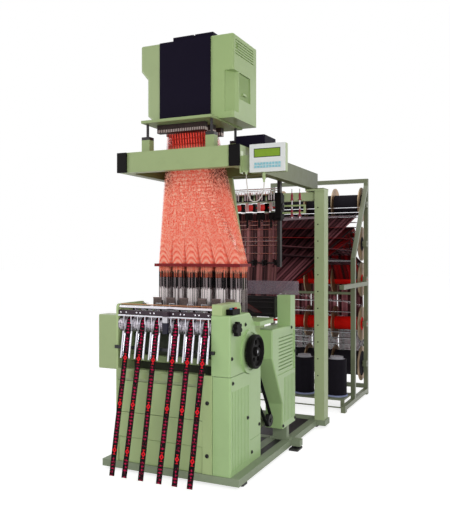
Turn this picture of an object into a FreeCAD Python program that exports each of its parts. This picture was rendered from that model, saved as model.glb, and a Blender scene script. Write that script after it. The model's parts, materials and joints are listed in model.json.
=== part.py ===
import FreeCAD, Part
import math
import os
import Sketcher
from FreeCAD import Placement, Rotation, Vector

# Narrow-fabric needle loom with a jacquard head on a gantry and a warp creel behind.
# Origin: on the floor, centre of the four anchor-bolt holes. +X right, +Y back, +Z up.
# Every depth below is measured back from the front plane of the loom body.

doc = FreeCAD.newDocument("PowerLoom")
sheet = doc.addObject("Spreadsheet::Sheet", "Sizes")


class Size:
    """A length with the expression that gives it from the sheet."""

    def __init__(self, value, text=None):
        self.value = float(value)
        self.text = text if text else "(%.10g)" % value

    def mix(self, other, sign, value):
        return Size(value, "(%s %s %s)" % (self.text, sign, other.text))

    def __float__(self):
        return self.value

    def __add__(self, other):
        other = as_size(other)
        return self.mix(other, "+", self.value + other.value)

    def __sub__(self, other):
        other = as_size(other)
        return self.mix(other, "-", self.value - other.value)

    def __mul__(self, other):
        other = as_size(other)
        return self.mix(other, "*", self.value * other.value)

    def __truediv__(self, other):
        other = as_size(other)
        return self.mix(other, "/", self.value / other.value)

    def __radd__(self, other):
        return as_size(other) + self

    def __rsub__(self, other):
        return as_size(other) - self

    def __rmul__(self, other):
        return as_size(other) * self

    def __neg__(self):
        return Size(-self.value, "(-1 * %s)" % self.text)


def as_size(value):
    return value if isinstance(value, Size) else Size(value)


class Sizes:
    """The sheet's cells by name."""


d = Sizes()


def sizes(table):
    """Put a table of lengths into the sheet, each under its own alias."""
    for name, value in table.items():
        line = len(vars(d)) + 1
        sheet.set("A%d" % line, name)
        sheet.set("B%d" % line, "%.10g" % value)
        sheet.setAlias("B%d" % line, name)
        setattr(d, name, Size(value, "Sizes." + name))


def bind(item, prop, size):
    size = as_size(size)
    if "Sizes." in size.text:
        item.setExpression(prop, size.text)
        return
    if prop.isalpha():
        setattr(item, prop, size.value)


def place(item, x, y, z, turn=None):
    y = front + y
    turn = turn if turn else Rotation()
    item.Placement = Placement(Vector(float(x), float(y), float(z)), turn)
    bind(item, "Placement.Base.x", x)
    bind(item, "Placement.Base.y", y)
    bind(item, "Placement.Base.z", z)


ALONG = {
    "x": Rotation(Vector(0, 1, 0), 90),
    "y": Rotation(Vector(1, 0, 0), -90),
    "z": Rotation(),
}
count = {}
nodes = []


def fresh(name):
    count[name] = count.get(name, 0) + 1
    return name if count[name] == 1 else "%s_%d" % (name, count[name])


def node(item, name):
    item.Label = name
    nodes.append(item)
    return item


def box(name, xs, ys, zs):
    item = doc.addObject("Part::Box", fresh(name))
    bind(item, "Length", xs[1] - xs[0])
    bind(item, "Width", ys[1] - ys[0])
    bind(item, "Height", zs[1] - zs[0])
    place(item, xs[0], ys[0], zs[0])
    return item


def rod(name, axis, start, length, radius):
    """Cylinder from the point start along an axis."""
    item = doc.addObject("Part::Cylinder", fresh(name))
    bind(item, "Radius", radius)
    bind(item, "Height", length)
    place(item, start[0], start[1], start[2], ALONG[axis])
    return item


def cut(name, base, *tools):
    item = doc.addObject("Part::Cut", fresh(name))
    item.Base = base
    item.Tool = tools[0] if len(tools) == 1 else fuse(name + "_tools", *tools)
    return item


def fuse(name, *items):
    item = doc.addObject("Part::MultiFuse", fresh(name))
    item.Shapes = list(items)
    return item


def solid(name, shape):
    """A shape made by the code above it from the sheet's sizes."""
    item = doc.addObject("Part::Feature", fresh(name))
    item.Shape = shape
    item.Placement = Placement()
    return item


def copies(name, item, spots, turns=None):
    """The same piece at many spots, as one group of solids."""
    doc.recompute()
    out = []
    for i, spot in enumerate(spots):
        shape = item.Shape.copy()
        if turns:
            shape.rotate(Vector(), Vector(0, 0, 1), turns[i])
        shape.translate(Vector(*[float(v) for v in spot]))
        out.append(shape)
    return solid(name, Part.makeCompound(out))


def new_body(name, x, y, z):
    body = doc.addObject("PartDesign::Body", fresh(name))
    place(body, x, y, z)
    return body


def plane_of(body, plane):
    return [f for f in body.Origin.OriginFeatures if f.Role == plane][0]


def new_sketch(body, plane, lift):
    sketch = body.newObject("Sketcher::SketchObject", fresh(body.Name + "Sketch"))
    sketch.AttachmentSupport = [(plane_of(body, plane + "_Plane"), "")]
    sketch.MapMode = "FlatFace"
    if lift is not None:
        sketch.AttachmentOffset = Placement(Vector(0, 0, float(lift)), Rotation())
        bind(sketch, "AttachmentOffset.Base.z", lift)
    return sketch


def hold(sketch, geometry, corner, spot):
    """Hold a point of the sketch at its two distances from the sketch's origin."""
    for kind, axis, value in (("DistanceX", -2, spot[0]), ("DistanceY", -1, spot[1])):
        value = as_size(value)
        if abs(value.value) < 1e-9:
            sketch.addConstraint(Sketcher.Constraint("PointOnObject", geometry, corner, axis))
            continue
        index = sketch.addConstraint(
            Sketcher.Constraint(kind, -1, 1, geometry, corner, value.value))
        bind(sketch, "Constraints[%d]" % index, value)


def outline(body, plane, *loops, lift=None):
    """Closed polygons on an origin plane of the body."""
    sketch = new_sketch(body, plane, lift)
    for loop in loops:
        first = sketch.GeometryCount
        spots = [Vector(float(u), float(v), 0) for u, v in loop]
        lines = [Part.LineSegment(a, b) for a, b in zip(spots, spots[1:] + spots[:1])]
        sketch.addGeometry(lines, False)
        last = len(loop) - 1
        sketch.addConstraint([
            Sketcher.Constraint("Coincident", first + i, 2, first + (i + 1 if i < last else 0), 1)
            for i in range(len(loop))])
        for i, spot in enumerate(loop):
            hold(sketch, first + i, 1, spot)
    return sketch


def rings(body, plane, *circles, lift=None):
    """Circles (u, v, radius) on an origin plane of the body."""
    sketch = new_sketch(body, plane, lift)
    for u, v, radius in circles:
        centre = Vector(float(u), float(v), 0)
        index = sketch.addGeometry(Part.Circle(centre, Vector(0, 0, 1), float(radius)), False)
        radius_at = sketch.addConstraint(Sketcher.Constraint("Radius", index, float(radius)))
        bind(sketch, "Constraints[%d]" % radius_at, radius)
        hold(sketch, index, 3, (u, v))
    return sketch


def rect(u0, u1, v0, v1):
    return [(u0, v0), (u1, v0), (u1, v1), (u0, v1)]


def pad(body, sketch, length, back=False):
    feature = body.newObject("PartDesign::Pad", fresh(body.Name + "Pad"))
    feature.Profile = sketch
    feature.Reversed = back
    bind(feature, "Length", length)
    return feature


def pocket(body, sketch, depth, back=False):
    feature = body.newObject("PartDesign::Pocket", fresh(body.Name + "Pocket"))
    feature.Profile = sketch
    feature.Reversed = back
    bind(feature, "Length", depth)
    return feature


def turned(body, loop, plane="XY", axis="X_Axis"):
    """Solid of revolution of a half section about an origin axis of the body."""
    sketch = outline(body, plane, loop)
    feature = body.newObject("PartDesign::Revolution", fresh(body.Name + "Turn"))
    feature.Profile = sketch
    feature.ReferenceAxis = (plane_of(body, axis), [""])
    feature.Angle = 360
    return feature


def around(body, feature, times, axis="X_Axis"):
    item = body.newObject("PartDesign::PolarPattern", fresh(body.Name + "Polar"))
    item.Originals = [feature]
    item.Axis = (plane_of(body, axis), [""])
    item.Angle = 360
    item.Occurrences = times
    body.Tip = item
    return item


def along(body, feature, axis, length, times):
    item = body.newObject("PartDesign::LinearPattern", fresh(body.Name + "Row"))
    item.Originals = [feature]
    item.Direction = (plane_of(body, axis), [""])
    bind(item, "Length", length)
    item.Occurrences = times
    body.Tip = item
    return item


def rounded(body, feature, radius, wanted, kind="PartDesign::Fillet"):
    """Fillet the edges whose middle point the test picks out, in the body's own axes."""
    doc.recompute()
    names = []
    for i, edge in enumerate(feature.Shape.Edges):
        middle = edge.valueAt(0.5 * (edge.FirstParameter + edge.LastParameter))
        if wanted(edge, middle):
            names.append("Edge%d" % (i + 1))
    item = body.newObject(kind, fresh(body.Name + "Round"))
    item.Base = (feature, names)
    bind(item, "Radius" if kind.endswith("Fillet") else "Size", radius)
    return item


def upright(edge, axis):
    """True where a straight edge runs along the axis."""
    if edge.Curve.TypeId != "Part::GeomLine":
        return False
    return abs(abs(edge.tangentAt(edge.FirstParameter).dot(axis)) - 1) < 1e-6


# Base: welded rails, rear sill, mid rail with outboard ears, drip trays, six levelling feet
base_sizes = {
    "running": 0.05,  # radial clearance of turning and sliding fits
    "gap": 0.4,  # air between curved pieces that pass close by
    "anchor_width": 740,  # anchor bolts, apart across the loom
    "anchor_length": 1500,  # anchor bolts, apart front to back
    "anchor_inset": 100,  # front anchors, back from the front plane
    "anchor_radius": 7,  # anchor hole radius
    "base_left": 510,  # left rail, outer side from the centre
    "base_right": 460,  # right rail, outer side from the centre
    "base_lip": 10,  # front rail, ahead of the front plane
    "base_front": 60,  # front rail, its width
    "base_low": 20,  # rails, underside
    "base_top": 65,  # rails, top
    "rail": 60,  # side rails, width
    "sill_past": 5,  # rear sill, beyond the right mid ear
    "sill_wide": 120,  # rear sill, width; the rear anchors lie along its middle
    "mid_front": 900,  # mid rail, front edge
    "mid_back": 960,  # mid rail, back edge
    "ear_out": 65,  # mid ears, beyond the rails
    "ear_front": 920,  # mid ears, front edge
    "ear_back": 980,  # mid ears, back edge
    "tray_low": 4,  # trays, below the rail top
    "tray_thick": 6,  # trays, thickness
    "lug_reach": 50,  # left lug, inboard of the rail
    "lug_thick": 12,  # left lug, thickness
    "foot_length": 110,  # foot pad length
    "foot_width": 70,  # foot pad width
    "foot_thick": 12,  # foot pad thickness
    "foot_stem": 60,  # stem from the anchor hole
    "foot_boss": 17,  # foot boss radius
    "foot_nut": 13,  # foot nut radius
    "foot_nut_high": 5,  # foot nut height
    "housing_low": 160,  # drive housing, underside
    "beam_left_out": 430,  # left longitudinal beam, outer side from the centre
    "beam_left_wide": 50,  # left longitudinal beam, width
    "beam_right_in": 285,  # right longitudinal beam, inner side
    "beam_right_wide": 60,  # right longitudinal beam, width
    "bracket_in": 305,  # housing bracket, inner end
    "bracket_out": 450,  # housing bracket, outer end
    "bracket_foot": 10,  # housing bracket, thickness of its foot
    "bracket_step": 20,  # housing bracket, web inside the ends of its foot
    "foot_round": 8,  # foot pad, corner rounding
}
sizes(base_sizes)
front = -(d.anchor_length / 2 + d.anchor_inset)
rails = (d.base_low, d.base_top)
sill_mid = d.anchor_inset + d.anchor_length
sill_ys = (sill_mid - d.sill_wide / 2, sill_mid + d.sill_wide / 2)
sill_half = d.base_right + d.ear_out + d.sill_past
rail_left = -d.base_left + d.rail
rail_right = d.base_right - d.rail
beam_left = (-d.beam_left_out, d.beam_left_wide - d.beam_left_out)
beam_right = (d.beam_right_in, d.beam_right_in + d.beam_right_wide)
front_back = -d.base_lip + d.base_front
base_parts = [
    box("rail_left", (-d.base_left, rail_left), (-d.base_lip, sill_ys[1]), rails),
    box("rail_right", (rail_right, d.base_right), (-d.base_lip, sill_ys[1]), rails),
    box("rail_front", (rail_left, rail_right), (-d.base_lip, front_back), rails),
    box("rail_mid", (rail_left, rail_right), (d.mid_front, d.mid_back), rails),
    box("sill_rear", (-sill_half, sill_half), sill_ys, rails),
    box("beam_left", beam_left, (front_back, d.mid_front), rails),
    box("beam_right", beam_right, (front_back, d.mid_front), rails),
    box("ear_left", (-d.base_left - d.ear_out, -d.base_left), (d.ear_front, d.ear_back), rails),
    box("ear_right", (d.base_right, d.base_right + d.ear_out), (d.ear_front, d.ear_back), rails),
    box("lug_left", (rail_left, rail_left + d.lug_reach),
        (d.anchor_inset - d.foot_width / 2, d.anchor_inset + d.foot_width / 2),
        (d.base_low, d.base_low + d.lug_thick)),
    box("bracket_web", (d.bracket_in + d.bracket_step, d.bracket_out - d.bracket_step),
        (d.mid_front + d.bracket_foot / 2, d.mid_back - d.bracket_foot / 2),
        (d.base_top, d.housing_low)),
    box("bracket_foot", (d.bracket_in, d.bracket_out), (d.mid_front, d.mid_back),
        (d.base_top, d.base_top + d.bracket_foot)),
]
node(fuse("base_frame", *base_parts), "base_frame")
tray = (d.base_top - d.tray_low - d.tray_thick, d.base_top - d.tray_low)
node(fuse("base_tray",
          box("tray_left", (rail_left, beam_left[0]), (front_back, d.mid_front), tray),
          box("tray_middle", (beam_left[1], beam_right[0]), (front_back, d.mid_front), tray),
          box("tray_right", (beam_right[1], rail_right), (front_back, d.mid_front), tray),
          box("tray_rear", (rail_left, rail_right), (d.mid_back, sill_ys[0]), tray)),
     "base_tray")


def foot_shape():
    length, width, thick = (float(v) for v in (d.foot_length, d.foot_width, d.foot_thick))
    stem = float(d.foot_stem)
    plate = Part.makeBox(length, width, thick, Vector((stem - length) / 2, -width / 2, 0))
    plate = plate.makeFillet(float(d.foot_round), [e for e in plate.Edges if upright(e, Vector(0, 0, 1))])
    hole = Part.makeCylinder(float(d.anchor_radius), thick + 2, Vector(0, 0, -1))
    nut_low = float(d.base_low - d.foot_nut_high)
    boss = Part.makeCylinder(float(d.foot_boss), nut_low - thick, Vector(stem, 0, thick))
    corners = [Vector(stem + float(d.foot_nut) * math.cos(math.pi / 3 * i),
                      float(d.foot_nut) * math.sin(math.pi / 3 * i), nut_low) for i in range(7)]
    nut = Part.Face(Part.makePolygon(corners)).extrude(Vector(0, 0, float(d.foot_nut_high)))
    return plate.cut(hole).fuse([boss, nut]).removeSplitter()


foot = solid("foot", foot_shape())
half_wide = d.anchor_width / 2
half_long = d.anchor_length / 2
ear_stem = (front + (d.ear_front + d.ear_back) / 2) - d.foot_stem
ear_mid = d.ear_out / 2
spots = [(half_wide, -half_long, 0), (half_wide, half_long, 0),
         (-half_wide, -half_long, 0), (-half_wide, half_long, 0),
         (d.base_right + ear_mid, ear_stem, 0), (-d.base_left - ear_mid, ear_stem, 0)]
node(copies("levelling_feet", foot, spots, [0, 0, 180, 180, 90, 90]), "levelling_feet")

# Loom body: side frames, girders and the sheet-metal panels of the front
body_sizes = {
    "left_out": 410,  # left side frame, outer face from the centre
    "left_thick": 15,  # left side frame, thickness
    "frame_deep": 750,  # left side frame, depth
    "frame_top": 1075,  # left side frame, top
    "frame_step": 930,  # side frames, rear top
    "core_in": 290,  # right side frame, inner face
    "core_thick": 50,  # right side frame, thickness
    "head_in": 277,  # right frame head, inner face
    "head_out": 346,  # right frame head, outer face
    "head_top": 1090,  # right frame head, top
    "head_back": 285,  # right frame head, back
    "cover_top": 1025,  # right upper cover, top
    "shaft_y": 290,  # main shaft, back from the front
    "shaft_z": 780,  # main shaft, height
    "shaft_radius": 15,  # main shaft radius
    "roll_y": 45,  # take-up roller, back from the front
    "roll_z": 945,  # take-up roller, height
    "roll_journal": 12,  # take-up roller journal radius
    "roll_radius": 50,  # take-up roller radius
    "press_radius": 14,  # press roller radius
    "press_journal": 7,  # press roller journal radius
    "sley_y": 345,  # sley shaft, back from the front
    "sley_z": 560,  # sley shaft, height
    "sley_journal": 12,  # sley shaft journal radius
    "frame_flat": 300,  # left side frame, depth of its highest part
    "frame_bend": 480,  # left side frame, start of the rear step
    "frame_drop": 55,  # left side frame, first drop behind the highest part
    "frame_rise": 27,  # left side frame, slope of the rear step
    "frame_round": 25,  # left side frame, corner rounding
    "core_front": 25,  # right side frame, front edge
    "core_foot": 470,  # right side frame, depth of its foot
    "core_waist": 675,  # right side frame, height of the step under its rear arm
    "core_neck": 619,  # right side frame, neck of the rear arm
    "core_arm": 887,  # right side frame, underside of the rear arm
    "core_deep": 700,  # right side frame, back of the rear arm
    "core_dip": 410,  # right side frame, front of the rear arm
    "core_dip_z": 905,  # right side frame, foot of the front shoulder
    "core_shoulder": 1008,  # right side frame, front shoulder
    "head_front": 4,  # right frame head, front
    "head_chamfer": 25,  # right frame head, rear corner cut back
    "head_step": 35,  # right frame head, height of its rear edge
}
sizes(body_sizes)
left_in = -d.left_out + d.left_thick
press_y = d.roll_y + d.roll_radius + d.press_radius + d.gap


def bearings(body, lift, thick):
    """Bores through a side frame for the shafts that run across the loom."""
    low = d.base_top
    bores = [(d.shaft_y, d.shaft_z - low, d.shaft_radius + d.running),
             (d.roll_y, d.roll_z - low, d.roll_journal + d.running),
             (press_y, d.roll_z - low, d.press_journal + d.running),
             (d.sley_y, d.sley_z - low, d.sley_journal + d.running)]
    return pocket(body, rings(body, "YZ", *bores, lift=lift), thick)


left = new_body("left_side_frame", -d.left_out, 0, d.base_top)
high = d.frame_top - d.base_top
back_high = d.frame_step - d.base_top
left_pad = pad(left, outline(left, "YZ", [
    (0, 0), (d.frame_deep, 0), (d.frame_deep, back_high),
    (d.frame_bend, back_high + d.frame_rise), (d.frame_bend - 80, high - d.frame_drop),
    (d.frame_flat, high), (0, high)]), d.left_thick)
rounded(left, left_pad, d.frame_round, lambda e, m: (
    upright(e, Vector(1, 0, 0)) and m.z > float(back_high) - 165
    and m.y < float(d.frame_flat) + 50))
bearings(left, d.left_thick, d.left_thick)

right = new_body("right_side_frame", 0, 0, d.base_top)
top = d.cover_top - d.base_top
waist = d.core_waist - d.base_top
arm = d.core_arm - d.base_top
pad(right, outline(right, "YZ", [
    (d.core_front, 0), (d.core_foot, 0), (d.core_foot, waist), (d.core_neck, waist),
    (d.core_neck, arm), (d.core_deep, arm), (d.core_deep, back_high), (d.core_dip, back_high),
    (d.core_dip, d.core_dip_z - d.base_top), (d.head_back, d.core_shoulder - d.base_top),
    (d.head_back, top), (d.core_front, top)], lift=d.core_in), d.core_thick)
pad(right, outline(right, "YZ", [
    (d.head_front, top), (d.head_back, top), (d.head_back, top + d.head_step),
    (d.head_back - d.head_chamfer, d.head_top - d.base_top),
    (d.head_front, d.head_top - d.base_top)], lift=d.head_in), d.head_out - d.head_in)
bearings(right, d.core_in + d.core_thick, d.core_thick)

panel_sizes = {
    "panel_right": 215,  # front panels, right edge
    "panel_deep": 20,  # front panels, depth of the returns
    "sheet": 3,  # sheet-metal thickness
    "seam": 3,  # gap between panels
    "sill_top": 662,  # front sill, top
    "sill_low": 587,  # front sill, underside
    "sill_lip": 14,  # front sill, ahead of the front plane
    "middle_low": 385,  # middle panel, lower edge
    "lower_low": 225,  # lower panel, lower edge
    "kick_back": 6,  # kick panel, set back
    "strip_right": 280,  # front strip, right edge
    "strip_deep": 24,  # front strip, depth
    "girder_low": 850,  # rear girder, underside
    "girder_high": 75,  # rear girder, height
    "girder_deep": 60,  # rear girder, depth
    "column_foot": 925,  # harness columns, foot
    "needle_girder": 975,  # needle girder, top
    "girder_y": 640,  # rear girder, front face
    "column_beam_y": 575,  # column girder, front face
    "column_beam_deep": 40,  # column girder, depth
    "column_beam_high": 55,  # column girder, height
    "low_beam_y": 420,  # low girder, front face
    "low_beam_z": 300,  # low girder, underside
    "low_beam_high": 80,  # low girder, height
    "front_beam_y": 150,  # front girder, front face
    "front_beam_z": 690,  # front girder, underside
    "beam_deep": 40,  # low and front girders, depth
    "needle_y": 240,  # needle girder, front face
    "needle_deep": 50,  # needle girder, depth
    "needle_high": 35,  # needle girder, height
    "panel_round": 2,  # front panels, edge rounding
    "sill_chin": 18,  # front sill, height of its sloped underside
    "sill_brow": 14,  # front sill, height of its sloped top
    "sill_brow_deep": 12,  # front sill, depth of its sloped top
    "sill_deep": 60,  # front sill, depth
}
sizes(panel_sizes)


def tray_panel(name, x0, x1, z0, z1, y0, deep):
    """Sheet panel with four returns, open at the back."""
    body = new_body(name, x0, y0, z0)
    wide = x1 - x0
    tall = z1 - z0
    first = pad(body, outline(body, "XZ", rect(0, wide, 0, tall)), deep, back=True)
    rounded(body, first, d.panel_round, lambda e, m: abs(m.y) < 1e-6)
    pocket(body, outline(body, "XZ", rect(d.sheet, wide - d.sheet, d.sheet, tall - d.sheet),
                         lift=-deep), deep - d.sheet, back=True)
    return body


node(fuse("front_panels",
          tray_panel("middle_panel", left_in, d.panel_right, d.middle_low, d.sill_low - d.seam,
                     0, d.panel_deep),
          tray_panel("lower_panel", left_in, d.panel_right, d.lower_low,
                     d.middle_low - d.seam, 0, d.panel_deep),
          tray_panel("kick_panel", left_in, d.panel_right, d.base_top, d.lower_low - d.seam,
                     d.kick_back, d.panel_deep)),
     "front_panels")
strip = tray_panel("front_strip_cover", d.panel_right, d.strip_right, d.base_top,
                   d.sill_top - 2, -d.seam, d.strip_deep)
node(strip, "front_strip_cover")

sill = new_body("front_sill", left_in, -d.sill_lip, d.sill_low)
sill_high = d.sill_top - d.sill_low
pad(sill, outline(sill, "YZ", [
    (0, d.sill_chin), (0, sill_high - d.sill_brow), (d.sill_brow_deep, sill_high),
    (d.sill_deep, sill_high), (d.sill_deep, sill_high - d.sheet),
    (d.sill_brow_deep + 2, sill_high - d.sheet), (d.sheet, sill_high - d.sill_brow - 2),
    (d.sheet, d.sill_chin + 2), (d.sill_lip + 4, 0), (d.sill_lip, 0)]), d.panel_right - left_in)
node(sill, "front_sill")

girders = [
    box("girder_rear", (left_in, d.core_in), (d.girder_y, d.girder_y + d.girder_deep),
        (d.girder_low, d.girder_low + d.girder_high)),
    box("girder_column", (left_in, d.core_in),
        (d.column_beam_y, d.column_beam_y + d.column_beam_deep),
        (d.column_foot - d.column_beam_high, d.column_foot)),
    box("girder_low", (left_in, d.core_in), (d.low_beam_y, d.low_beam_y + d.beam_deep),
        (d.low_beam_z, d.low_beam_z + d.low_beam_high)),
    box("girder_front", (left_in, d.core_in), (d.front_beam_y, d.front_beam_y + d.beam_deep),
        (d.front_beam_z, d.front_beam_z + d.beam_deep)),
    box("girder_needle", (left_in, d.core_in), (d.needle_y, d.needle_y + d.needle_deep),
        (d.needle_girder - d.needle_high, d.needle_girder)),
]

# Right column: cast covers round the drive side, side panel, drive housing
column_sizes = {
    "cover_in": 275,  # upper cover, inner edge
    "cover_out": 400,  # upper cover, outer face
    "cover_low": 660,  # upper cover, lower edge
    "cover_flat": 290,  # upper cover, depth of the flat top
    "cover_deep": 390,  # upper cover, depth
    "cover_slope_z": 935,  # upper cover, foot of the rear slope
    "cast_wall": 8,  # cast covers, wall
    "cast_round": 13,  # cast covers, outer rounding
    "boss_radius": 140,  # ring boss, outer radius
    "boss_recess": 120,  # ring boss, radius of the recess
    "boss_rise": 12,  # ring boss, rise
    "knob_hole": 16,  # hole in the cover for the knob shaft
    "lower_in": 283,  # lower cover, inner edge
    "lower_out": 402,  # lower cover, outer face
    "lower_deep": 300,  # lower cover, depth
    "flute_wide": 9,  # flutes, width
    "flute_deep": 3,  # flutes, depth
    "side_front": 306,  # side panel, front edge
    "side_back": 480,  # side panel, back edge
    "side_top": 690,  # side panel, top
    "side_seam": 210,  # side panel, height of the seam
    "boss_dish": 9,  # ring boss, depth of the recess
    "shaft_room": 7,  # cover holes, beside the shafts
    "flute_first": 24,  # lower cover, first flute from the front
    "flute_low": 93,  # lower cover, foot of the flutes
    "flute_top": 570,  # lower cover, top of the flutes
    "side_fold": 22,  # side panel, width of the folded rear edge
    "side_thick": 6,  # side panel, thickness
}
sizes(column_sizes)
low = d.cover_low
upper = new_body("right_upper_cover", 0, 0, low)
width = d.cover_out - d.cover_in
top = d.cover_top - low
slope_z = d.cover_slope_z - low
shaft_spot = (d.shaft_y, d.shaft_z - low)
shell = pad(upper, outline(upper, "YZ", [
    (0, 0), (0, top), (d.cover_flat, top), (d.cover_deep, slope_z),
    (d.cover_deep, shaft_spot[1]), (d.shaft_y, 0)], lift=d.cover_in), width)
rounded(upper, shell, d.cast_round, lambda e, m: (
    (upright(e, Vector(0, 1, 0)) and m.z > 300 and m.x > 390)
    or (upright(e, Vector(0, 0, 1)) and m.y < 1 and m.x > 390)
    or (upright(e, Vector(1, 0, 0)) and m.z > 200 and m.y < 300)))
pad(upper, rings(upper, "YZ", (*shaft_spot, d.boss_radius), lift=d.cover_in), width + d.boss_rise)
pocket(upper, outline(upper, "YZ", [
    (d.cast_wall, -60), (d.cast_wall, top - d.cast_wall),
    (d.cover_flat - 3, top - d.cast_wall), (d.cover_flat + 210, top - 199.8),
    (d.cover_flat + 210, -60)], lift=d.cover_in), width - d.cast_wall, back=True)
out = d.cover_out + d.boss_rise
pocket(upper, rings(upper, "YZ", (*shaft_spot, d.boss_recess), lift=out), d.boss_dish)
pocket(upper, rings(upper, "YZ", (*shaft_spot, d.shaft_radius + d.shaft_room), lift=out),
       3 * d.boss_rise)
pocket(upper, rings(upper, "YZ", (d.roll_y, d.roll_z - low, d.knob_hole), lift=d.cover_out),
       2 * d.cast_wall)
pocket(upper, outline(upper, "XY", rect(d.core_in - 2, d.core_in + d.core_thick + 2, 20, 289),
                      lift=top), d.cast_wall + 1)
node(upper, "right_upper_cover")

lower = new_body("right_lower_cover", 0, 0, d.base_top)
lower_top = d.cover_low - d.base_top - d.seam
angle = pad(lower, outline(lower, "XY", [
    (d.lower_in, 0), (d.lower_out, 0), (d.lower_out, d.lower_deep),
    (d.lower_out - d.cast_wall, d.lower_deep), (d.lower_out - d.cast_wall, d.cast_wall),
    (d.lower_in, d.cast_wall)]), lower_top)
rounded(lower, angle, d.cast_round,
        lambda e, m: upright(e, Vector(0, 0, 1)) and m.y < 1
        and m.x > float(d.lower_out) - 7)
pocket(lower, rings(lower, "YZ", (d.shaft_y, d.shaft_z - d.base_top, d.boss_radius + d.seam),
                    lift=d.lower_out), 20)
flute = pocket(lower, outline(lower, "YZ", rect(
    d.flute_first, d.flute_first + d.flute_wide, d.flute_low - d.base_top,
    d.flute_top - d.base_top), lift=d.lower_out), d.flute_deep)
along(lower, flute, "Y_Axis", d.lower_deep - 2 * d.flute_first - d.cast_wall, 12)
node(lower, "right_lower_cover")

side = new_body("side_panel", 0, 0, tray[1])
side_high = d.side_top - tray[1]
pad(side, outline(side, "XY", [
    (d.cover_out - d.side_thick, d.side_front), (d.cover_out, d.side_front),
    (d.cover_out, d.side_back), (d.cover_out - d.side_fold, d.side_back),
    (d.cover_out - d.side_fold, d.side_back - d.side_thick),
    (d.cover_out - d.side_thick, d.side_back - d.side_thick)]), side_high)
pocket(side, rings(side, "YZ", (d.shaft_y, d.shaft_z - tray[1], d.boss_radius + d.seam),
                   lift=d.cover_out), 20)
seam_z = d.side_seam - tray[1]
pocket(side, outline(side, "YZ", rect(
    d.lower_deep, d.side_back + d.side_thick, seam_z, seam_z + d.seam), lift=d.cover_out),
       d.side_thick / 2)
node(side, "side_panel")

housing_sizes = {
    "housing_in": 300,  # drive housing, inner face
    "housing_out": 430,  # drive housing, outer face
    "housing_front": 620,  # drive housing, front
    "housing_back": 1100,  # drive housing, back
    "housing_top": 880,  # drive housing, top
    "housing_step": 823,  # drive housing, foot of the sloped front
    "housing_round": 10,  # drive housing, rounding
    "recess_deep": 7,  # drive housing, depth of the recessed panel
    "slot_high": 8,  # drive housing, slot height
    "deck_in": 288,  # deck plate, inner edge
    "deck_front": 396,  # deck plate, front edge
    "deck_back": 700,  # deck plate, back edge
    "deck_thick": 27,  # deck plate, thickness
    "stand_in": 350,  # warp stand, inner face
    "stand_side": 100,  # warp stand, width and depth
    "stand_front": 930,  # warp stands, front face
    "stand_top": 1100,  # warp stands, top
    "left_stand": 440,  # left warp stand, inner face
    "left_stand_side": 60,  # left warp stand, width
    "slope_high": 684,  # drive housing, top of the sloped front
    "slope_low": 335,  # drive housing, foot of the sloped front
    "recess_front": 730,  # drive housing, recessed panel, front edge
    "recess_back": 1080,  # drive housing, recessed panel, back edge
    "recess_low": 550,  # drive housing, recessed panel, lower edge
    "recess_top": 840,  # drive housing, recessed panel, upper edge
    "slot_inset": 30,  # drive housing, slots inside the recessed panel
    "slot_deep": 12,  # drive housing, slot depth
    "groove_front": 850,  # drive housing, first groove
    "groove_wide": 12,  # drive housing, groove width
    "groove_low": 200,  # drive housing, foot of the grooves
    "groove_top": 520,  # drive housing, top of the grooves
    "groove_row": 210,  # drive housing, first to last groove
    "deck_corner": 60,  # deck plate, cut corner
    "deck_round": 4,  # deck plate, edge rounding
}
sizes(housing_sizes)
housing = new_body("drive_housing", 0, 0, d.housing_low)
low = d.housing_low
block = pad(housing, outline(housing, "YZ", [
    (d.housing_step, 0), (d.housing_back, 0), (d.housing_back, d.housing_top - low),
    (d.housing_front, d.housing_top - low), (d.housing_front, d.slope_high - low),
    (d.housing_step, d.slope_low - low)], lift=d.housing_in), d.housing_out - d.housing_in)
rounded(housing, block, d.housing_round,
        lambda e, m: m.x > float(d.housing_out) - 5 and m.z > 5
        or upright(e, Vector(1, 0, 0)) and m.z > 100)
pocket(housing, outline(housing, "YZ", rect(
    d.recess_front, d.recess_back, d.recess_low - low, d.recess_top - low),
                        lift=d.housing_out), d.recess_deep)
slot_low = d.recess_low + d.slot_inset - low
slot = pocket(housing, outline(housing, "YZ", rect(
    d.recess_front + d.slot_inset, d.recess_back - d.slot_inset, slot_low,
    slot_low + d.slot_high), lift=d.housing_out - d.recess_deep), d.slot_deep)
along(housing, slot, "Z_Axis", d.recess_top - d.recess_low - 2 * d.slot_inset - d.slot_high, 10)
flute = pocket(housing, outline(housing, "YZ", rect(
    d.groove_front, d.groove_front + d.groove_wide, d.groove_low - low, d.groove_top - low),
                                lift=d.housing_out), d.flute_deep)
along(housing, flute, "Y_Axis", d.groove_row, 8)
node(housing, "drive_housing")

deck = new_body("deck_plate", 0, 0, d.frame_step)
plate = pad(deck, outline(deck, "XY", [
    (d.deck_in, d.deck_front), (d.housing_out, d.deck_front),
    (d.housing_out, d.deck_back - d.deck_corner), (d.housing_out - d.deck_corner, d.deck_back),
    (d.deck_in, d.deck_back)]), d.deck_thick)
rounded(deck, plate, d.deck_round, lambda e, m: m.z > float(d.deck_thick) - 1)
back = d.stand_front + d.stand_side
node(fuse("rear_deck", deck,
          box("stand_right", (d.stand_in, d.stand_in + d.stand_side), (d.stand_front, back),
              (d.housing_top, d.stand_top)),
          box("stand_left", (-d.left_stand - d.left_stand_side, -d.left_stand),
              (d.stand_front, back), (d.base_top, d.stand_top))),
     "rear_deck")

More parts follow.
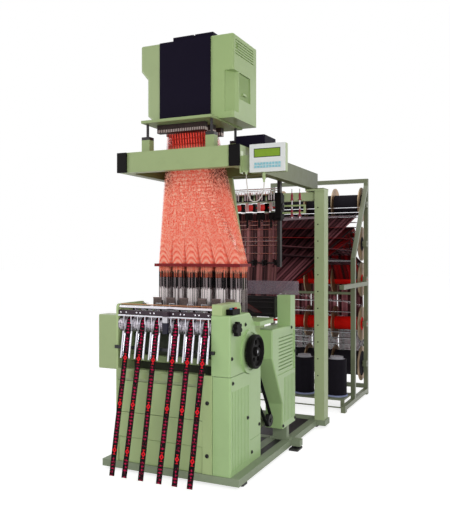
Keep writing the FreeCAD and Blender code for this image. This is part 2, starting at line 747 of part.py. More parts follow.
# Front of the loom: control box, breast rods, take-up and press rollers, ribbon guides
front_sizes = {
    "box_out": 548,  # control box, outer side from the centre
    "box_low": 651,  # control box, underside
    "box_top": 1002,  # control box, top
    "box_deep": 110,  # control box, depth
    "breast_radius": 9,  # breast rod radius
    "breast_y": 16,  # breast rod, back from the front
    "breast_z": 1057,  # breast rod, height
    "lay_radius": 4,  # lay rod radius
    "lay_y": 40,  # lay rod, back from the front
    "lay_z": 1071,  # lay rod, height
    "bar_low": 1008,  # breast bar, underside
    "bar_high": 28,  # breast bar, height
    "bar_front": 4,  # breast bar, front face
    "bar_deep": 24,  # breast bar, depth
    "knob_radius": 45,  # star knob, over the lobes
    "knob_low": 414,  # star knob, inner face
    "knob_thick": 26,  # star knob, thickness
    "ribbon_wide": 38,  # ribbon width
    "ribbon_thick": 2,  # ribbon thickness
    "ribbon_mid": -33,  # middle of the six ribbons
    "ribbon_first": 69,  # inner ribbons, from the middle
    "ribbon_pitch": 103,  # ribbon pitch
    "ribbon_reach": 165,  # ribbon ends, ahead of the front plane
    "ribbon_end": 22,  # ribbon ends, height
    "guide_low": 745,  # ribbon guides, lower end
    "guide_room": 9,  # ribbon guides, beside the ribbon
    "guide_shift": 4,  # ribbon guides, shift towards the side the ribbons drift to
    "guide_high": 893,  # ribbon guides, upper end
    "guide_bar_low": 790,  # guide bar, underside
    "box_round": 6,  # control box, rounding
    "box_door": 14,  # control box, depth of the door seam behind the front
    "box_seam": 2,  # control box, depth of the seam
    "block_half": 17,  # centre bearing block, half its width
    "block_front": 26,  # centre bearing block, ahead of the front plane
    "block_deep": 18,  # centre bearing block, depth
    "block_low": 900,  # centre bearing block, underside
    "knob_lobe": 12,  # star knob, radius of a lobe
    "knob_cap": 8,  # star knob, closed outer part
    "guide_wall": 3,  # ribbon guides, flange thickness
    "guide_sheet": 2,  # ribbon guides, sheet thickness
    "guide_flange": 13,  # ribbon guides, flange height
    "guide_slack": 5,  # ribbon guides, sheet behind the ribbon
    "guide_bar_high": 20,  # guide bar, height
    "guide_bar_front": 18,  # guide bar, ahead of the front plane
    "guide_bar_thick": 12,  # guide bar, thickness
    "guide_arm_half": 8,  # guide arms, half their width
    "guide_arm_front": 25,  # guide arms, ahead of the front plane
    "roll_gap": 3,  # rollers, from the frames and cover
}
sizes(front_sizes)
ribbons = [d.ribbon_mid + side * (d.ribbon_first + k * d.ribbon_pitch)
           for side, k in ((-1, 2), (-1, 1), (-1, 0), (1, 0), (1, 1), (1, 2))]
ribbon_drift = (-22, -35, -18, -29, -26, -27)

control = new_body("left_control_box", -d.box_out, 0, d.box_low)
case = pad(control, outline(control, "XZ", rect(0, d.box_out - d.left_out, 0,
                                                d.box_top - d.box_low)), d.box_deep, back=True)
rounded(control, case, d.box_round, lambda e, m: m.x < 130 and (m.y < 1 or m.x < 1))
pocket(control, outline(control, "XZ", rect(0, 140, 0, 400), rect(3, 134, 3, 348),
                        lift=-d.box_door), d.box_seam, back=True)
node(control, "left_control_box")

rods = [rod("breast_rod", "x", (left_in, d.breast_y, d.breast_z), d.head_in - left_in,
            d.breast_radius),
        rod("lay_rod", "x", (left_in, d.lay_y, d.lay_z), d.head_in - left_in, d.lay_radius)]
node(fuse("breast_bar",
          box("bar_main", (left_in, d.cover_in), (d.bar_front, d.bar_front + d.bar_deep),
              (d.bar_low, d.bar_low + d.bar_high)),
          box("block_hanger", (d.ribbon_mid - d.block_half + 3, d.ribbon_mid + d.block_half - 3),
              (d.block_deep - d.block_front, d.bar_front),
              (d.bar_low + 2, d.bar_low + d.bar_high - 2)),
          box("block_front", (d.ribbon_mid - d.block_half, d.ribbon_mid + d.block_half),
              (-d.block_front, d.block_deep - d.block_front),
              (d.block_low, d.bar_low + d.bar_high - 2))),
     "breast_bar")


def shaft_body(name, y, z, sections, x0=0):
    """Turned piece on an axis along the loom: (x, radius) steps of its outline."""
    body = new_body(name, x0, y, z)
    turned(body, sections)
    return body


def steps(*ends):
    """Half section of a stepped shaft from (x0, x1, radius) lengths."""
    loop = [(ends[0][0], 0)]
    for x0, x1, radius in ends:
        loop += [(x0, radius), (x1, radius)]
    return loop + [(ends[-1][1], 0)]


def shift(loop, x0):
    return [(as_size(x) - x0, r) for x, r in loop]


roll_low = left_in + d.roll_gap
knob_end = d.knob_low + d.knob_thick - d.knob_cap
start = -d.left_out
take_up = shaft_body("take_up_roller", d.roll_y, d.roll_z, shift(steps(
    (start, roll_low, d.roll_journal), (roll_low, d.cover_in - d.roll_gap, d.roll_radius),
    (d.cover_in - d.roll_gap, knob_end, d.roll_journal)), start), start)
node(take_up, "take_up_roller")
press = shaft_body("press_roller", press_y, d.roll_z, shift(steps(
    (start, roll_low, d.press_journal), (roll_low, d.cover_in - d.roll_gap, d.press_radius),
    (d.cover_in - d.roll_gap, d.core_in + d.core_thick, d.press_journal)), start), start)
node(press, "press_roller")

knob = new_body("star_knob", d.knob_low, d.roll_y, d.roll_z)
pad(knob, rings(knob, "YZ", (0, 0, d.knob_radius - d.knob_lobe)), d.knob_thick)
lobe = pad(knob, rings(knob, "YZ", (0, d.knob_radius - d.knob_lobe, d.knob_lobe)), d.knob_thick)
around(knob, lobe, 7)
pocket(knob, rings(knob, "YZ", (0, 0, d.roll_journal + d.running)),
       d.knob_thick - d.knob_cap, back=True)
node(knob, "star_knob")

slope = (d.ribbon_reach - 6) / (d.roll_z - d.ribbon_end)
tilt = math.degrees(math.atan(float(slope)))
guide_mid = (float(d.guide_low) + float(d.guide_high)) / 2
guide_y = float(d.guide_slack) - 6 - (float(d.roll_z) - guide_mid) * float(slope)
guide_parts = []
for i, x in enumerate(ribbons):
    half = d.ribbon_wide / 2 + d.guide_room
    middle = x - d.guide_shift
    length = d.guide_high - d.guide_low
    lean = Rotation(Vector(1, 0, 0), -tilt)
    low_y = guide_y - float(length) / 2 * float(slope)
    for name, x0, wide, y0, deep in (
            ("channel", middle - half, 2 * half, 0, d.guide_sheet),
            ("flange_a", middle - half, d.guide_wall, 1 - d.guide_flange, d.guide_flange),
            ("flange_b", middle + half - d.guide_wall, d.guide_wall, 1 - d.guide_flange,
             d.guide_flange)):
        item = doc.addObject("Part::Box", fresh(name))
        bind(item, "Length", wide)
        bind(item, "Width", deep)
        bind(item, "Height", length)
        place(item, x0, low_y + y0, d.guide_low, lean)
        guide_parts.append(item)
    guide_parts.append(box("guide_arm", (middle - d.guide_arm_half, middle + d.guide_arm_half),
                           (-d.guide_arm_front, 2 - d.guide_bar_front),
                           (d.guide_bar_low + 2, d.guide_bar_low + d.guide_bar_high - 2)))
guide_zs = (d.guide_bar_low, d.guide_bar_low + d.guide_bar_high)
guide_back = d.guide_bar_thick - d.guide_bar_front
guide_parts += [
    box("guide_bar", (-d.left_out, d.strip_right + 20), (-d.guide_bar_front, guide_back),
        guide_zs),
    box("guide_end_left", (-d.left_out, left_in), (guide_back, 0), guide_zs),
    box("guide_end_right", (d.strip_right, d.strip_right + 20), (guide_back, 0), guide_zs)]
node(fuse("ribbon_guides", *guide_parts), "ribbon_guides")


def ribbon_shape(x, drift):
    """Ribbon over the take-up roller, then straight down and forward to its cut end."""
    x0 = float(x - d.ribbon_wide / 2)
    wide = float(d.ribbon_wide)
    thick = float(d.ribbon_thick)
    y0 = float(front + d.roll_y)
    z0 = float(d.roll_z)
    inner = float(d.roll_radius) + 0.3
    turn = math.atan(float(slope))
    ends = [(math.cos(math.pi - turn), math.sin(math.pi - turn)), (0.0, 1.0)]
    middle = math.radians(135) - turn / 2
    arc_mid = (math.cos(middle), math.sin(middle))
    edges = []
    for radius in (inner, inner + thick):
        a, b, c = [Vector(x0, y0 + radius * v[0], z0 + radius * v[1])
                   for v in (ends[0], arc_mid, ends[1])]
        edges.append(Part.Arc(a, b, c).toShape())
    sides = [Part.makeLine(edges[0].valueAt(edges[0].LastParameter),
                           edges[1].valueAt(edges[1].LastParameter)),
             Part.makeLine(edges[0].valueAt(edges[0].FirstParameter),
                           edges[1].valueAt(edges[1].FirstParameter))]
    wire = Part.Wire(Part.sortEdges(edges + sides)[0])
    wrap = Part.Face(wire).extrude(Vector(wide, 0, 0))
    top = []
    bottom = []
    end_y = float(front - d.ribbon_reach)
    end_z = float(d.ribbon_end)
    for radius in (inner, inner + thick):
        y = y0 + radius * ends[0][0]
        z = z0 + radius * ends[0][1]
        back = radius - inner
        for u in (x0, x0 + wide):
            top.append(Vector(u, y, z))
            bottom.append(Vector(u + drift, end_y - back * math.cos(turn), end_z))
    order = (0, 1, 3, 2)
    hang = Part.makeLoft([Part.makePolygon([points[i] for i in order + (0,)])
                          for points in (top, bottom)], True, True)
    return wrap.fuse(hang)


node(solid("woven_ribbons", Part.makeCompound(
    [ribbon_shape(x, drift) for x, drift in zip(ribbons, ribbon_drift)])), "woven_ribbons")

# Drive: main shaft, handwheel, pulleys, belt, motor
drive_sizes = {
    "pulley_in": 350,  # pulleys, inner face
    "pulley_wide": 30,  # pulleys, width
    "pulley_big": 88,  # drive pulley, belt seat radius
    "pulley_small": 38,  # motor pulley, belt seat radius
    "flange_rise": 5,  # pulley flanges, above the belt seat
    "belt_thick": 6,  # belt thickness
    "belt_wide": 22,  # belt width
    "belt_air": 0.3,  # belt, off the pulley seats
    "motor_y": 720,  # motor shaft, back from the front
    "motor_z": 240,  # motor shaft, height
    "motor_radius": 62,  # motor radius
    "motor_left": 100,  # motor, left end
    "motor_right": 325,  # motor, right end
    "motor_shaft": 10,  # motor shaft radius
    "wheel_in": 416,  # handwheel, inner face
    "wheel_thick": 46,  # handwheel, thickness
    "wheel_radius": 108,  # handwheel, radius
    "wheel_rim": 22,  # handwheel, rim width
    "wheel_web": 12,  # handwheel, web thickness
    "wheel_hub": 27,  # handwheel, hub radius
    "flange_wide": 3,  # pulley flanges, thickness
    "shaft_proud": 42,  # main shaft, past the inner face of the handwheel
    "hub_low": 4,  # handwheel, hub set back
    "rim_round": 8,  # handwheel, corner of the rim
    "window_radius": 17,  # handwheel, window radius
    "motor_end": 46,  # motor, radius of its end caps
    "motor_bore": 25,  # motor, depth of the shaft hole
    "motor_foot": 50,  # motor, start of its foot
    "motor_foot_end": 170,  # motor, end of its foot
    "motor_foot_wide": 60,  # motor, width of its foot
    "fin_high": 6,  # motor fins, height
    "fin_thick": 4,  # motor fins, thickness
    "fin_start": 40,  # motor fins, from the left end
    "motor_step": 22,  # motor pulley shaft, inside the motor
    "nose_radius": 14,  # motor pulley, radius of its nose
    "nose_long": 8,  # motor pulley, length of its nose
}
sizes(drive_sizes)
shaft_end = d.wheel_in + d.shaft_proud
seat = d.pulley_big
rim = seat + d.flange_rise
edge = d.pulley_in + d.pulley_wide
main = new_body("main_shaft", start, d.shaft_y, d.shaft_z)
turned(main, shift([
    (start, 0), (start, d.shaft_radius), (d.pulley_in, d.shaft_radius), (d.pulley_in, rim),
    (d.pulley_in + d.flange_wide, rim), (d.pulley_in + d.flange_wide, seat),
    (edge - d.flange_wide, seat), (edge - d.flange_wide, rim),
    (edge, rim), (edge, d.shaft_radius), (shaft_end, d.shaft_radius), (shaft_end, 0)], start))
node(main, "main_shaft")
wheel = new_body("handwheel", d.wheel_in, d.shaft_y, d.shaft_z)
rim_in = d.wheel_radius - d.wheel_rim
web_in = (d.wheel_thick - d.wheel_web) / 2
web_out = (d.wheel_thick + d.wheel_web) / 2
turned(wheel, [
    (d.hub_low, d.shaft_radius + d.running), (d.hub_low, d.wheel_hub),
    (web_in, d.wheel_hub + d.hub_low), (web_in, rim_in), (d.hub_low, rim_in + d.hub_low),
    (0, rim_in + d.rim_round), (0, d.wheel_radius - d.rim_round),
    (d.rim_round, d.wheel_radius), (d.wheel_thick - d.rim_round, d.wheel_radius),
    (d.wheel_thick, d.wheel_radius - d.rim_round), (d.wheel_thick, rim_in + d.rim_round),
    (d.wheel_thick - d.hub_low, rim_in + d.hub_low), (web_out, rim_in),
    (web_out, d.wheel_hub + d.hub_low), (d.wheel_thick, d.wheel_hub),
    (d.wheel_thick, d.shaft_radius + d.running)])
window = pocket(wheel, rings(wheel, "YZ", (0, (d.wheel_hub + rim_in) / 2 + 2, d.window_radius),
                             lift=d.wheel_thick), d.wheel_thick)
around(wheel, window, 5)
node(wheel, "handwheel")

motor = new_body("drive_motor", d.motor_left, d.motor_y, d.motor_z)
long = d.motor_right - d.motor_left
turned(motor, [
    (0, 0), (0, d.motor_end), (d.motor_end - 16, d.motor_radius - 6),
    (d.motor_end - 12, d.motor_radius), (long - 20, d.motor_radius), (long - 16, d.motor_end + 4),
    (long, d.motor_end), (long, d.motor_shaft + d.running),
    (long - d.motor_bore, d.motor_shaft + d.running), (long - d.motor_bore, 0)])
pad(motor, outline(motor, "XY", rect(d.motor_foot, d.motor_foot_end, 0, d.motor_foot_wide),
                   lift=tray[1] - d.motor_z),
    d.motor_z - tray[1])
fin = pad(motor, outline(motor, "YZ", rect(
    0, d.fin_thick, d.motor_radius - d.fin_thick, d.motor_radius + d.fin_high),
                         lift=d.fin_start), long - d.fin_start - d.motor_bore)
around(motor, fin, 12)
node(motor, "drive_motor")
small = new_body("motor_pulley", d.motor_right - d.motor_step, d.motor_y, d.motor_z)
nose = d.pulley_in - d.motor_right + d.motor_step
seat = d.pulley_small
rim = seat + d.flange_rise
turned(small, [
    (0, 0), (0, d.motor_shaft), (nose, d.motor_shaft), (nose, rim),
    (nose + d.flange_wide, rim), (nose + d.flange_wide, seat),
    (nose + d.pulley_wide - d.flange_wide, seat), (nose + d.pulley_wide - d.flange_wide, rim),
    (nose + d.pulley_wide, rim), (nose + d.pulley_wide, d.nose_radius),
    (nose + d.pulley_wide + d.nose_long, d.nose_radius), (nose + d.pulley_wide + d.nose_long, 0)])
node(small, "motor_pulley")


def loop_face(x, big, small_one, grow):
    """Open-belt loop round two pulley circles (y, z, radius), grown by a distance."""
    (y1, z1, r1), (y2, z2, r2) = big, small_one
    apart = math.hypot(y2 - y1, z2 - z1)
    facing = math.atan2(z2 - z1, y2 - y1)
    wrap = math.acos((r1 - r2) / apart)
    edges = []
    marks = []
    for y, z, r, a0, a1 in ((y1, z1, r1, facing + wrap, facing + 2 * math.pi - wrap),
                            (y2, z2, r2, facing - wrap, facing + wrap)):
        spots = [Vector(x, y + (r + grow) * math.cos(a), z + (r + grow) * math.sin(a))
                 for a in (a0, (a0 + a1) / 2, a1)]
        edges.append(Part.Arc(*spots).toShape())
        marks.append(spots)
    edges.append(Part.makeLine(marks[0][2], marks[1][0]))
    edges.append(Part.makeLine(marks[1][2], marks[0][0]))
    return Part.Face(Part.Wire(Part.sortEdges(edges)[0]))


big_circle = (float(front + d.shaft_y), float(d.shaft_z), float(d.pulley_big))
small_circle = (float(front + d.motor_y), float(d.motor_z), float(d.pulley_small))
air = float(d.belt_air)
belt_x = float(d.pulley_in + (d.pulley_wide - d.belt_wide) / 2)
belt = loop_face(belt_x, big_circle, small_circle, air + float(d.belt_thick)).cut(
    loop_face(belt_x, big_circle, small_circle, air)).extrude(
        Vector(float(d.belt_wide), 0, 0))
node(solid("drive_belt", belt), "drive_belt")

# Weaving motions: sley with reeds, weft needles, knitting needles
motion_sizes = {
    "sley_radius": 20,  # sley shaft radius
    "sley_beam_low": 985,  # sley beam, underside
    "sley_beam_high": 26,  # sley beam, height
    "reed_top": 1100,  # reeds, top
    "reed_wide": 64,  # reeds, width
    "weft_bar": 20,  # weft needle bar, side of its square
    "weft_low": 1000,  # weft needle bar, underside
    "knit_y": 195,  # knitting needle bar, front face
    "knit_z": 1036,  # knitting needle bar, height of its middle
    "knit_pin": 6,  # knitting needle bar, guide pin radius
    "sley_gap": 2,  # sley tube, from the frames
    "sley_inset": 12,  # sley beam, inside the frame and the cover
    "sley_arm": 24,  # sley arms, width
    "sley_deep": 20,  # sley beam and arms, depth
    "sley_mid": 70,  # middle sley arm, left of the centre
    "reed_thick": 6,  # reeds, depth
    "reed_cap": 12,  # reed caps, depth
    "reed_cap_high": 8,  # reed caps, height
    "weft_y": 255,  # weft needle bar, front face
    "weft_left": 368,  # weft needle bar, left end from the centre
    "weft_right": 206,  # weft needle bar, right end
    "weft_z": 1064,  # weft needles, height
    "weft_side": 66,  # weft needle posts, left of the middle of their ribbon
    "weft_post": 6,  # weft needle posts, width
    "weft_long": 38,  # weft needles, length
    "needle_radius": 2.5,  # weft needle radius
    "block_wide": 20,  # weft bar blocks, width
    "block_left": 305,  # left weft bar block, left of the centre
    "block_right": 140,  # right weft bar block, right of the centre
    "block_depth": 38,  # weft bar blocks, depth
    "block_top": 1030,  # weft bar blocks, top
    "pin_block": 18,  # knitting pin blocks, width
    "pin_left": 392,  # left knitting pin block, left of the centre
    "pin_right": 255,  # right knitting pin block, right of the centre
    "pin_block_deep": 42,  # knitting pin blocks, depth
    "pin_block_top": 1048,  # knitting pin blocks, top
    "pin_fit": 0.09,  # knitting pins, radial clearance in their blocks
    "knit_side": 12,  # knitting needle bar, side of its square
    "knit_post": 22,  # knitting needle posts, right of the middle of their ribbon
    "knit_post_wide": 5,  # knitting needle posts, width
    "knit_post_high": 18,  # knitting needle posts, above the bar's middle
    "knit_long": 40,  # knitting needles, length
    "knit_needle": 1.5,  # knitting needle radius
}
sizes(motion_sizes)
beam = (d.sley_beam_low, d.sley_beam_low + d.sley_beam_high)
sley_half = d.sley_deep / 2
sley_ys = (d.sley_y - sley_half, d.sley_y + sley_half)
sley_parts = [rod("sley_tube", "x", (left_in + d.sley_gap, d.sley_y, d.sley_z),
                  d.core_in - left_in - 2 * d.sley_gap, d.sley_radius),
              rod("sley_pin", "x", (start, d.sley_y, d.sley_z),
                  d.core_in + d.core_thick + d.left_out, d.sley_journal),
              box("sley_beam", (left_in + d.sley_inset, d.cover_in - d.sley_inset), sley_ys,
                  beam)]
sley_parts += [box("sley_arm", (x, x + d.sley_arm), sley_ys, (d.sley_z, beam[0]))
               for x in (left_in + d.sley_inset + 8, -d.sley_mid,
                         d.cover_in - d.sley_inset - d.sley_arm - 14)]
for x in ribbons:
    half = d.reed_wide / 2
    sley_parts += [box("reed", (x - half, x + half), (d.sley_y - d.reed_thick / 2,
                                                      d.sley_y + d.reed_thick / 2),
                       (beam[1], d.reed_top)),
                   box("reed_cap", (x - half, x + half), (d.sley_y - d.reed_cap / 2,
                                                          d.sley_y + d.reed_cap / 2),
                       (d.reed_top - d.reed_cap_high, d.reed_top))]
node(fuse("reed_sley", *sley_parts), "reed_sley")

girder_top = d.needle_girder
weft_ys = (d.weft_y, d.weft_y + d.weft_bar)
weft_zs = (d.weft_low, d.weft_low + d.weft_bar)
weft_mid = d.weft_y + d.weft_bar / 2
weft_parts = [box("weft_bar", (-d.weft_left, d.weft_right), weft_ys, weft_zs)]
for x in ribbons:
    weft_parts += [box("weft_post", (x - d.weft_side, x - d.weft_side + d.weft_post),
                       (d.weft_y + 3, weft_ys[1] - 3), (weft_zs[0], d.weft_z + 4)),
                   rod("weft_needle", "x", (x - d.weft_side + 4, weft_mid, d.weft_z),
                       d.weft_long, d.needle_radius)]
node(fuse("weft_needle_carrier", *weft_parts), "weft_needle_carrier")
blocks = []
for x in (-d.block_left, d.block_right):
    slot = box("block_slot", (x - 2, x + d.block_wide + 2),
               (weft_ys[0] - d.running, weft_ys[1] + d.running),
               (weft_zs[0] - d.running, weft_zs[1] + d.running))
    body = box("block_body", (x, x + d.block_wide),
               (weft_mid - d.block_depth / 2, weft_mid + d.block_depth / 2),
               (girder_top, d.block_top))
    blocks.append(cut("weft_block", body, slot))
pin_spots = [x + d.pin_block / 2 for x in (-d.pin_left, d.pin_right)]
for x in pin_spots:
    bore = rod("block_bore", "y", (x, d.needle_y, d.knit_z), d.needle_deep,
               d.knit_pin + d.pin_fit)
    body = box("block_body", (x - d.pin_block / 2, x + d.pin_block / 2),
               (weft_mid - d.pin_block_deep / 2, weft_mid + d.pin_block_deep / 2),
               (girder_top, d.pin_block_top))
    blocks.append(cut("knit_block", body, bore))
node(fuse("loom_frame", left, right, *girders, *blocks), "loom_frame")
knit_mid = d.knit_side / 2
knit_ys = (d.knit_y, d.knit_y + d.knit_side)
knit_parts = [box("knit_bar", (1 - d.pin_left, d.pin_right + d.pin_block - 1), knit_ys,
                  (d.knit_z - knit_mid, d.knit_z + knit_mid))]
knit_parts += [rod("knit_pin", "y", (x, d.knit_y + knit_mid, d.knit_z),
                   weft_mid - d.knit_y - knit_mid + 2, d.knit_pin) for x in pin_spots]
for x in ribbons:
    knit_parts += [box("knit_post", (x + d.knit_post, x + d.knit_post + d.knit_post_wide),
                       knit_ys, (d.knit_z, d.knit_z + d.knit_post_high)),
                   rod("knit_needle", "y", (x + d.knit_post + d.knit_post_wide / 2,
                                            knit_ys[1] - 2, d.knit_z + d.knit_post_high - 3),
                       d.knit_long, d.knit_needle)]
node(fuse("knitting_needle_bar", *knit_parts), "knitting_needle_bar")

# Push buttons on the cover, black cover screws, bright bar screws
button_sizes = {
    "button_radius": 9,  # push button radius
    "button_rise": 9,  # push button, above its box
    "button_box_high": 34,  # push-button box, height
    "screw_radius": 7,  # cover screw head radius
    "screw_rise": 5,  # cover screw head height
    "button_case_left": 350,  # push-button box, left side
    "button_case_wide": 44,  # push-button box, width
    "button_case_front": 50,  # push-button box, front
    "button_case_deep": 110,  # push-button box, depth
    "button_pitch": 35,  # push buttons, pitch
    "button_well": 12,  # push-button wells, above the cover
    "button_stem": 14,  # push buttons, inside their box
    "bar_screw": 5,  # bar screw head radius
    "bar_screw_rise": 4,  # bar screw head height
}
sizes(button_sizes)
button_mid = d.button_case_left + d.button_case_wide / 2
button_top = d.cover_top + d.button_box_high
button_ys = [d.button_case_front + d.button_case_deep / 2 + k * d.button_pitch
             for k in (-1, 0, 1)]
wells = [rod("button_well", "z", (button_mid, y, d.cover_top + d.button_well),
             d.button_box_high, d.button_radius + d.running) for y in button_ys]
node(cut("button_box",
         box("button_case", (d.button_case_left, d.button_case_left + d.button_case_wide),
             (d.button_case_front, d.button_case_front + d.button_case_deep),
             (d.cover_top, button_top)), *wells), "button_box")
button_high = d.button_stem + d.button_rise
for name, y in zip(("button_blue", "button_black", "button_red"), button_ys):
    button = new_body(name, button_mid, y, button_top - d.button_stem)
    turned(button, [(0, 0), (d.button_radius, 0), (d.button_radius, button_high - 2),
                    (d.button_radius - 2, button_high), (0, button_high)],
           plane="XZ", axis="Z_Axis")
    node(button, name)


def dome(radius, rise):
    """Low-domed hexagon-socket screw head standing on z = 0."""
    body = Part.makeCylinder(radius, rise)
    body = body.makeFillet(0.45 * rise, [e for e in body.Edges if e.CenterOfMass.z > rise - 0.1])
    socket = Part.Face(Part.makePolygon([
        Vector(0.45 * radius * math.cos(math.pi / 3 * i), 0.45 * radius * math.sin(math.pi / 3 * i),
               rise) for i in range(7)])).extrude(Vector(0, 0, -0.5 * rise))
    return body.cut(socket)


def screw_group(name, head, spots):
    """Screw heads at (x, y, z, facing) spots, facing the way the letter says."""
    out = []
    for x, y, z, facing in spots:
        shape = head.copy()
        if facing == "x":
            shape.rotate(Vector(), Vector(0, 1, 0), 90)
        if facing == "-y":
            shape.rotate(Vector(), Vector(1, 0, 0), 90)
        shape.translate(Vector(float(x), float(front + y), float(z)))
        out.append(shape)
    return solid(name, Part.makeCompound(out))


head = dome(float(d.screw_radius), float(d.screw_rise))
side_x = d.cover_out
node(screw_group("cover_screws", head, [
    (side_x, 24, 768, "x"), (side_x, 229, 954, "x"), (d.lower_out, 34, 620, "x"),
    (d.lower_out, 262, 365, "x"), (side_x, 330, 130, "x"), (side_x, 455, 280, "x"),
    (d.housing_out, 1009, 860, "x"), (d.housing_out, 1090, 679, "x"),
    (d.housing_out, 1082, 186, "x"), (d.housing_out, 832, 180, "x"),
    (d.panel_right + 34, -d.seam, 495, "-y"), (d.panel_right + 32, -d.seam, 176, "-y")]),
    "cover_screws")
bright = dome(float(d.bar_screw), float(d.bar_screw_rise))
screws = screw_group("bar_screws", bright, [
    (x, d.bar_front, d.bar_low + d.bar_high / 2, "-y")
    for x in (-375, -334, -256, -230, -154, -128, 10, 62, 88, 165, 191, 255)])
node(fuse("breast_rods", screws, *rods), "breast_rods")

# Gantry on two rear posts, harness columns, cross beams for the head, yarn feeder rack
gantry_sizes = {
    "beam_in": 365,  # gantry side beams, inner face
    "beam_out": 430,  # gantry side beams, outer face
    "beam_front": 60,  # gantry beams, front
    "beam_low": 1925,  # gantry beams, underside
    "beam_top": 2055,  # gantry beams, top
    "cap_thick": 12,  # beam end caps, thickness
    "post_in": 440,  # rear posts, inner face
    "post_out": 520,  # rear posts, outer face
    "post_inset": 10,  # rear posts, ahead of the rear sill's back edge
    "head_flange": 20,  # plates on the posts under the beams
    "cross_front": 540,  # rear cross beam, front
    "cross_back": 600,  # rear cross beam, back
    "column_front": 580,  # harness columns, front
    "column_deep": 25,  # harness columns, depth
    "column_wide": 30,  # harness columns, width
    "column_right": 205,  # right harness column, inner side
    "column_left": 300,  # left harness column, outer side
    "column_lean": 90,  # harness columns, lean inward above the comber board
    "comber_low": 1310,  # comber board, underside
    "comber_high": 20,  # comber board, thickness
    "comber_left": 360,  # comber board, left end from the centre
    "comber_right": 290,  # comber board, right end
    "comber_front": 390,  # comber board, front edge
    "spring_low": 800,  # spring board, underside
    "rack_y": 1000,  # yarn feeders, back from the front
    "front_beam_deep": 60,  # front and rear cross beams, depth
    "head_beam_y": 170,  # cross beam under the head's front, front face
    "head_beam_high": 55,  # cross beam under the head's front, height
    "rear_beam_in": 40,  # rear beam, behind the rear posts' front
    "rear_beam_z": 1830,  # rear beam, underside
    "rear_beam_high": 70,  # rear beam, height
    "rack_deep": 40,  # yarn feeder rack, depth
    "rack_high": 1965,  # rack bar, underside
    "rack_bar_high": 40,  # rack bar, height
    "rack_low": 1300,  # rack hangers, lower end
    "rack_rail_z": 1818,  # rack rail, underside
    "rack_rail_high": 24,  # rack rail, height
    "rack_rail_deep": 12,  # rack rail, depth
    "rail_reach": 540,  # side rails of the rack, outer end
    "rail_z": 1690,  # side rails of the rack, underside
    "rail_gap": 52,  # side rails of the rack, apart
    "rail_side": 12,  # side rails of the rack, side of their square
    "cap_proud": 8,  # beam end caps, past the beams outside
    "cap_inset": 2,  # beam end caps, past the beams inside
    "spring_front": 400,  # spring board, front edge
    "spring_deep": 160,  # spring board, depth
    "spring_thick": 20,  # spring board, thickness
}
sizes(gantry_sizes)
feeder_sizes = {
    "hanger_in": 330,  # rack hangers, inner face
    "hanger_out": 352,  # rack hangers, outer face
    "feed_z": 1740,  # feed roller shaft, height
    "feed_shaft": 6,  # feed roller shaft radius
    "feed_radius": 27,  # feed roller radius
    "feed_wide": 46,  # feed roller width
    "feed_pitch": 95,  # feed roller pitch
    "star_z": 1330,  # star wheel shaft, height
    "star_shaft": 5,  # star wheel shaft radius
    "star_radius": 24,  # star wheel radius
    "star_pitch": 80,  # star wheel pitch
    "guide_radius": 4,  # guide rod radius
    "guide_back": 12,  # guide rods, behind the feeder shafts
    "feed_first": 187,  # first feed roller, from the centre
    "star_first": 205,  # first star wheel, from the centre
    "star_thick": 14,  # star wheel thickness
    "star_tip": 3,  # star wheel, half the width of a tip
    "star_root": 8,  # star wheel, root of its arms
    "guide_top_z": 1880,  # top guide rod, height
    "guide_next_z": 1790,  # guide rod under the rack rail, height
    "guide_front_z": 1490,  # lower front guide rod, height
    "guide_front_rise": 120,  # upper front guide rod, above the lower one
    "warp_low": 1400,  # lowest warp guide rod, height
    "warp_step": 60,  # warp guide rods, apart
    "tension_low": 935,  # tension box, underside
    "tension_top": 1085,  # tension box, top
    "tension_front": 880,  # tension box, front
    "tension_case": 945,  # tension box, front of its case
    "tension_back": 1020,  # tension box, back
    "tension_end": 10,  # tension box, end plates
    "tension_rod": 5,  # tension rod radius
    "tension_rod_y": 890,  # tension rods, back from the front
    "tension_first": 30,  # lowest tension rod, above the box's underside
    "tension_pitch": 40,  # tension rods, apart
    "shield_y": 960,  # yarn shield, front face
    "shield_thick": 5,  # yarn shield, thickness
    "shield_high": 100,  # yarn shield, height
    "shield_left": 30,  # yarn shield, past the left stand's inner face
    "shield_right": 150,  # yarn shield, past the right stand's inner face
}
sizes(feeder_sizes)
comber_top = d.comber_low + d.comber_high
beams = (d.beam_low, d.beam_top)
post_top = d.beam_low - d.head_flange
rack_ys = (d.rack_y - d.rack_deep / 2, d.rack_y + d.rack_deep / 2)


def hanger(name, x0, x1):
    """Rack hanger bored for the two feeder shafts."""
    bores = [rod("hanger_bore", "x", (x0 - 1, d.rack_y, z), x1 - x0 + 2, radius + d.running)
             for z, radius in ((d.feed_z, d.feed_shaft), (d.star_z, d.star_shaft))]
    return cut(name, box(name + "_bar", (x0, x1), rack_ys, (d.rack_low, d.rack_high)), *bores)


